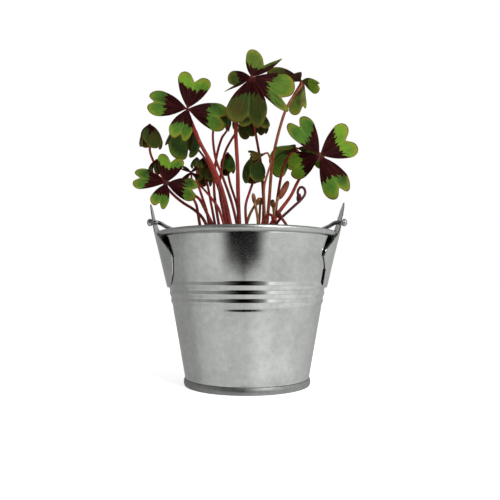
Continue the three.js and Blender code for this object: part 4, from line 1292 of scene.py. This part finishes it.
# %% Floor and lamps
FLOOR_REACH = 30.0
pale, tree, shader = new_material("pale floor")
plug(shader, {
    "Base Color": (0.95, 0.95, 0.95), "Roughness": 0.9, "Specular IOR Level": 0.0,
    "Emission Color": (1, 1, 1), "Emission Strength": 0.68,
})
floor_mesh = bpy.data.meshes.new("floor")
corners = [(x * FLOOR_REACH, y * FLOOR_REACH, 0) for x, y in ((-1, -1), (1, -1), (1, 1), (-1, 1))]
floor_mesh.from_pydata(corners, [], [(0, 1, 2, 3)])
floor_mesh.materials.append(pale)
floor = linked("floor", floor_mesh)
floor.visible_glossy = False


def area_light(name, place, target, side, power):
    data = bpy.data.lights.new(name, "AREA")
    data.size, data.energy = side, power
    lamp = linked(name, data)
    lamp.location = place
    lamp.rotation_euler = (Vector(target) - Vector(place)).to_track_quat("-Z", "Y").to_euler()
    return lamp


key = area_light("key", (0.45, -0.65, 0.60), (0, 0, 0.11), 0.35, 4.5)
fill = area_light("fill", (-0.7, -0.5, 0.45), (0, 0, 0.1), 0.5, 1.2)
fill.visible_glossy = False
print("lamps", key.name, "and", fill.name)

# %% [markdown]
# ## The room in the metal
# The world plays the room that the zinc mirrors; the camera itself sees plain white. Below the
# horizon the room is a lit table, above it the walls, and each has its own brightness round the
# compass: dim behind, brighter on the right. Straight in front of the bucket stands a dark gap, as of
# the space behind a camera. It is the dark patch on the wall, and the beads repeat it, because their
# lower sides look down at its foot and their upper sides up at its head. Towards the head the gap is
# a little wider and its sides are softer.

# %% Brightness of the room
# Compass angle from straight in front of the bucket, positive to the right, and brightness there
ROOM_BELOW = [
    (-180, 0.34), (-104, 0.42), (-82, 0.57), (-64, 0.69), (-46, 0.77), (-8, 0.75), (14, 0.80), (27, 0.84),
    (48, 0.79), (74, 0.84), (96, 0.76), (180, 0.40),
]
ROOM_ABOVE = [
    (-180, 0.34), (-62, 0.40), (-36, 0.34), (-5, 0.30), (22, 0.50), (34, 1.45), (44, 1.1), (58, 0.98),
    (96, 0.80), (180, 0.40),
]
# The gap at its foot and at its head; softness as a share of its half turn, inwards and outwards
FOOT_TO_HEAD = (-0.25, 0.25)
DARK_MIDDLE = (math.radians(-4.5), math.radians(-4))
DARK_HALF_TURN = (math.radians(26), math.radians(29))
DARK_SOFT_FROM = (-0.45, -0.9)
DARK_SOFT_TO = (0.4, 0.55)
DARKEST = 0.012
GAP_FOOT = (-0.352, -0.275)
GAP_HEAD = (0.5, 0.75)
HORIZON = (-0.22, -0.04)

world = bpy.data.worlds.new("studio")
bpy.context.scene.world = world
world.use_nodes = True
tree = world.node_tree
tree.nodes.clear()
right, ahead, rise = coordinates(tree, "Generated").parts()
compass = right.maths("ARCTAN2", ahead * -1.0)
share = compass.maths("MULTIPLY_ADD", 1 / (2 * math.pi), 0.5)


def room_round(stops):
    """Brightness round the compass. All stops get their places first, and only then their values."""
    ramp = node(tree, "ShaderNodeValToRGB", {0: share})
    ramp.color_ramp.interpolation = "EASE"
    while len(ramp.color_ramp.elements) < len(stops):
        ramp.color_ramp.elements.new(0.5)
    for stop, (degrees, _) in zip(ramp.color_ramp.elements, stops):
        stop.position = (degrees + 180) / 360
    for stop, (_, bright) in zip(ramp.color_ramp.elements, stops):
        stop.color = (bright, bright, bright, 1)
    return Flow(ramp.outputs[0])


room = blend(rise.fade(*HORIZON), room_round(ROOM_BELOW), room_round(ROOM_ABOVE))
print("room brightness up to", max(bright for _, bright in ROOM_BELOW + ROOM_ABOVE))

# %% Dark gap and world
middle, half_turn, soft_from, soft_to = (
    rise.fade(*FOOT_TO_HEAD, *ends) for ends in (DARK_MIDDLE, DARK_HALF_TURN, DARK_SOFT_FROM, DARK_SOFT_TO)
)
beside = (compass - middle).maths("ABSOLUTE").maths("DIVIDE", half_turn)
gap = (beside - rise.fade(*GAP_FOOT, -0.45, 1.0)).fade(soft_from, soft_to, DARKEST, 1.0)
gap = gap.maths("MAXIMUM", rise.fade(*GAP_HEAD))
table_glow = rise.fade(-0.46, -0.3, 0.24, 0.0) * compass.fade(-0.1, 0.45)
strength = gap * rise.fade(0.3, 0.9, 1.0, 0.6) * (table_glow + 1.0)
lit = flow(tree, "ShaderNodeBackground", {"Color": room, "Strength": strength})
white = flow(tree, "ShaderNodeBackground", {"Color": (1, 1, 1), "Strength": 1.0})
to_camera = flow(tree, "ShaderNodeLightPath", out="Is Camera Ray")
either = flow(tree, "ShaderNodeMixShader", {0: to_camera, 1: lit, 2: white})
node(tree, "ShaderNodeOutputWorld", {"Surface": either})
bpy.context.scene.view_settings.view_transform = "Standard"
print("dark gap", round(2 * math.degrees(DARK_HALF_TURN[0])), "degrees wide at its foot")
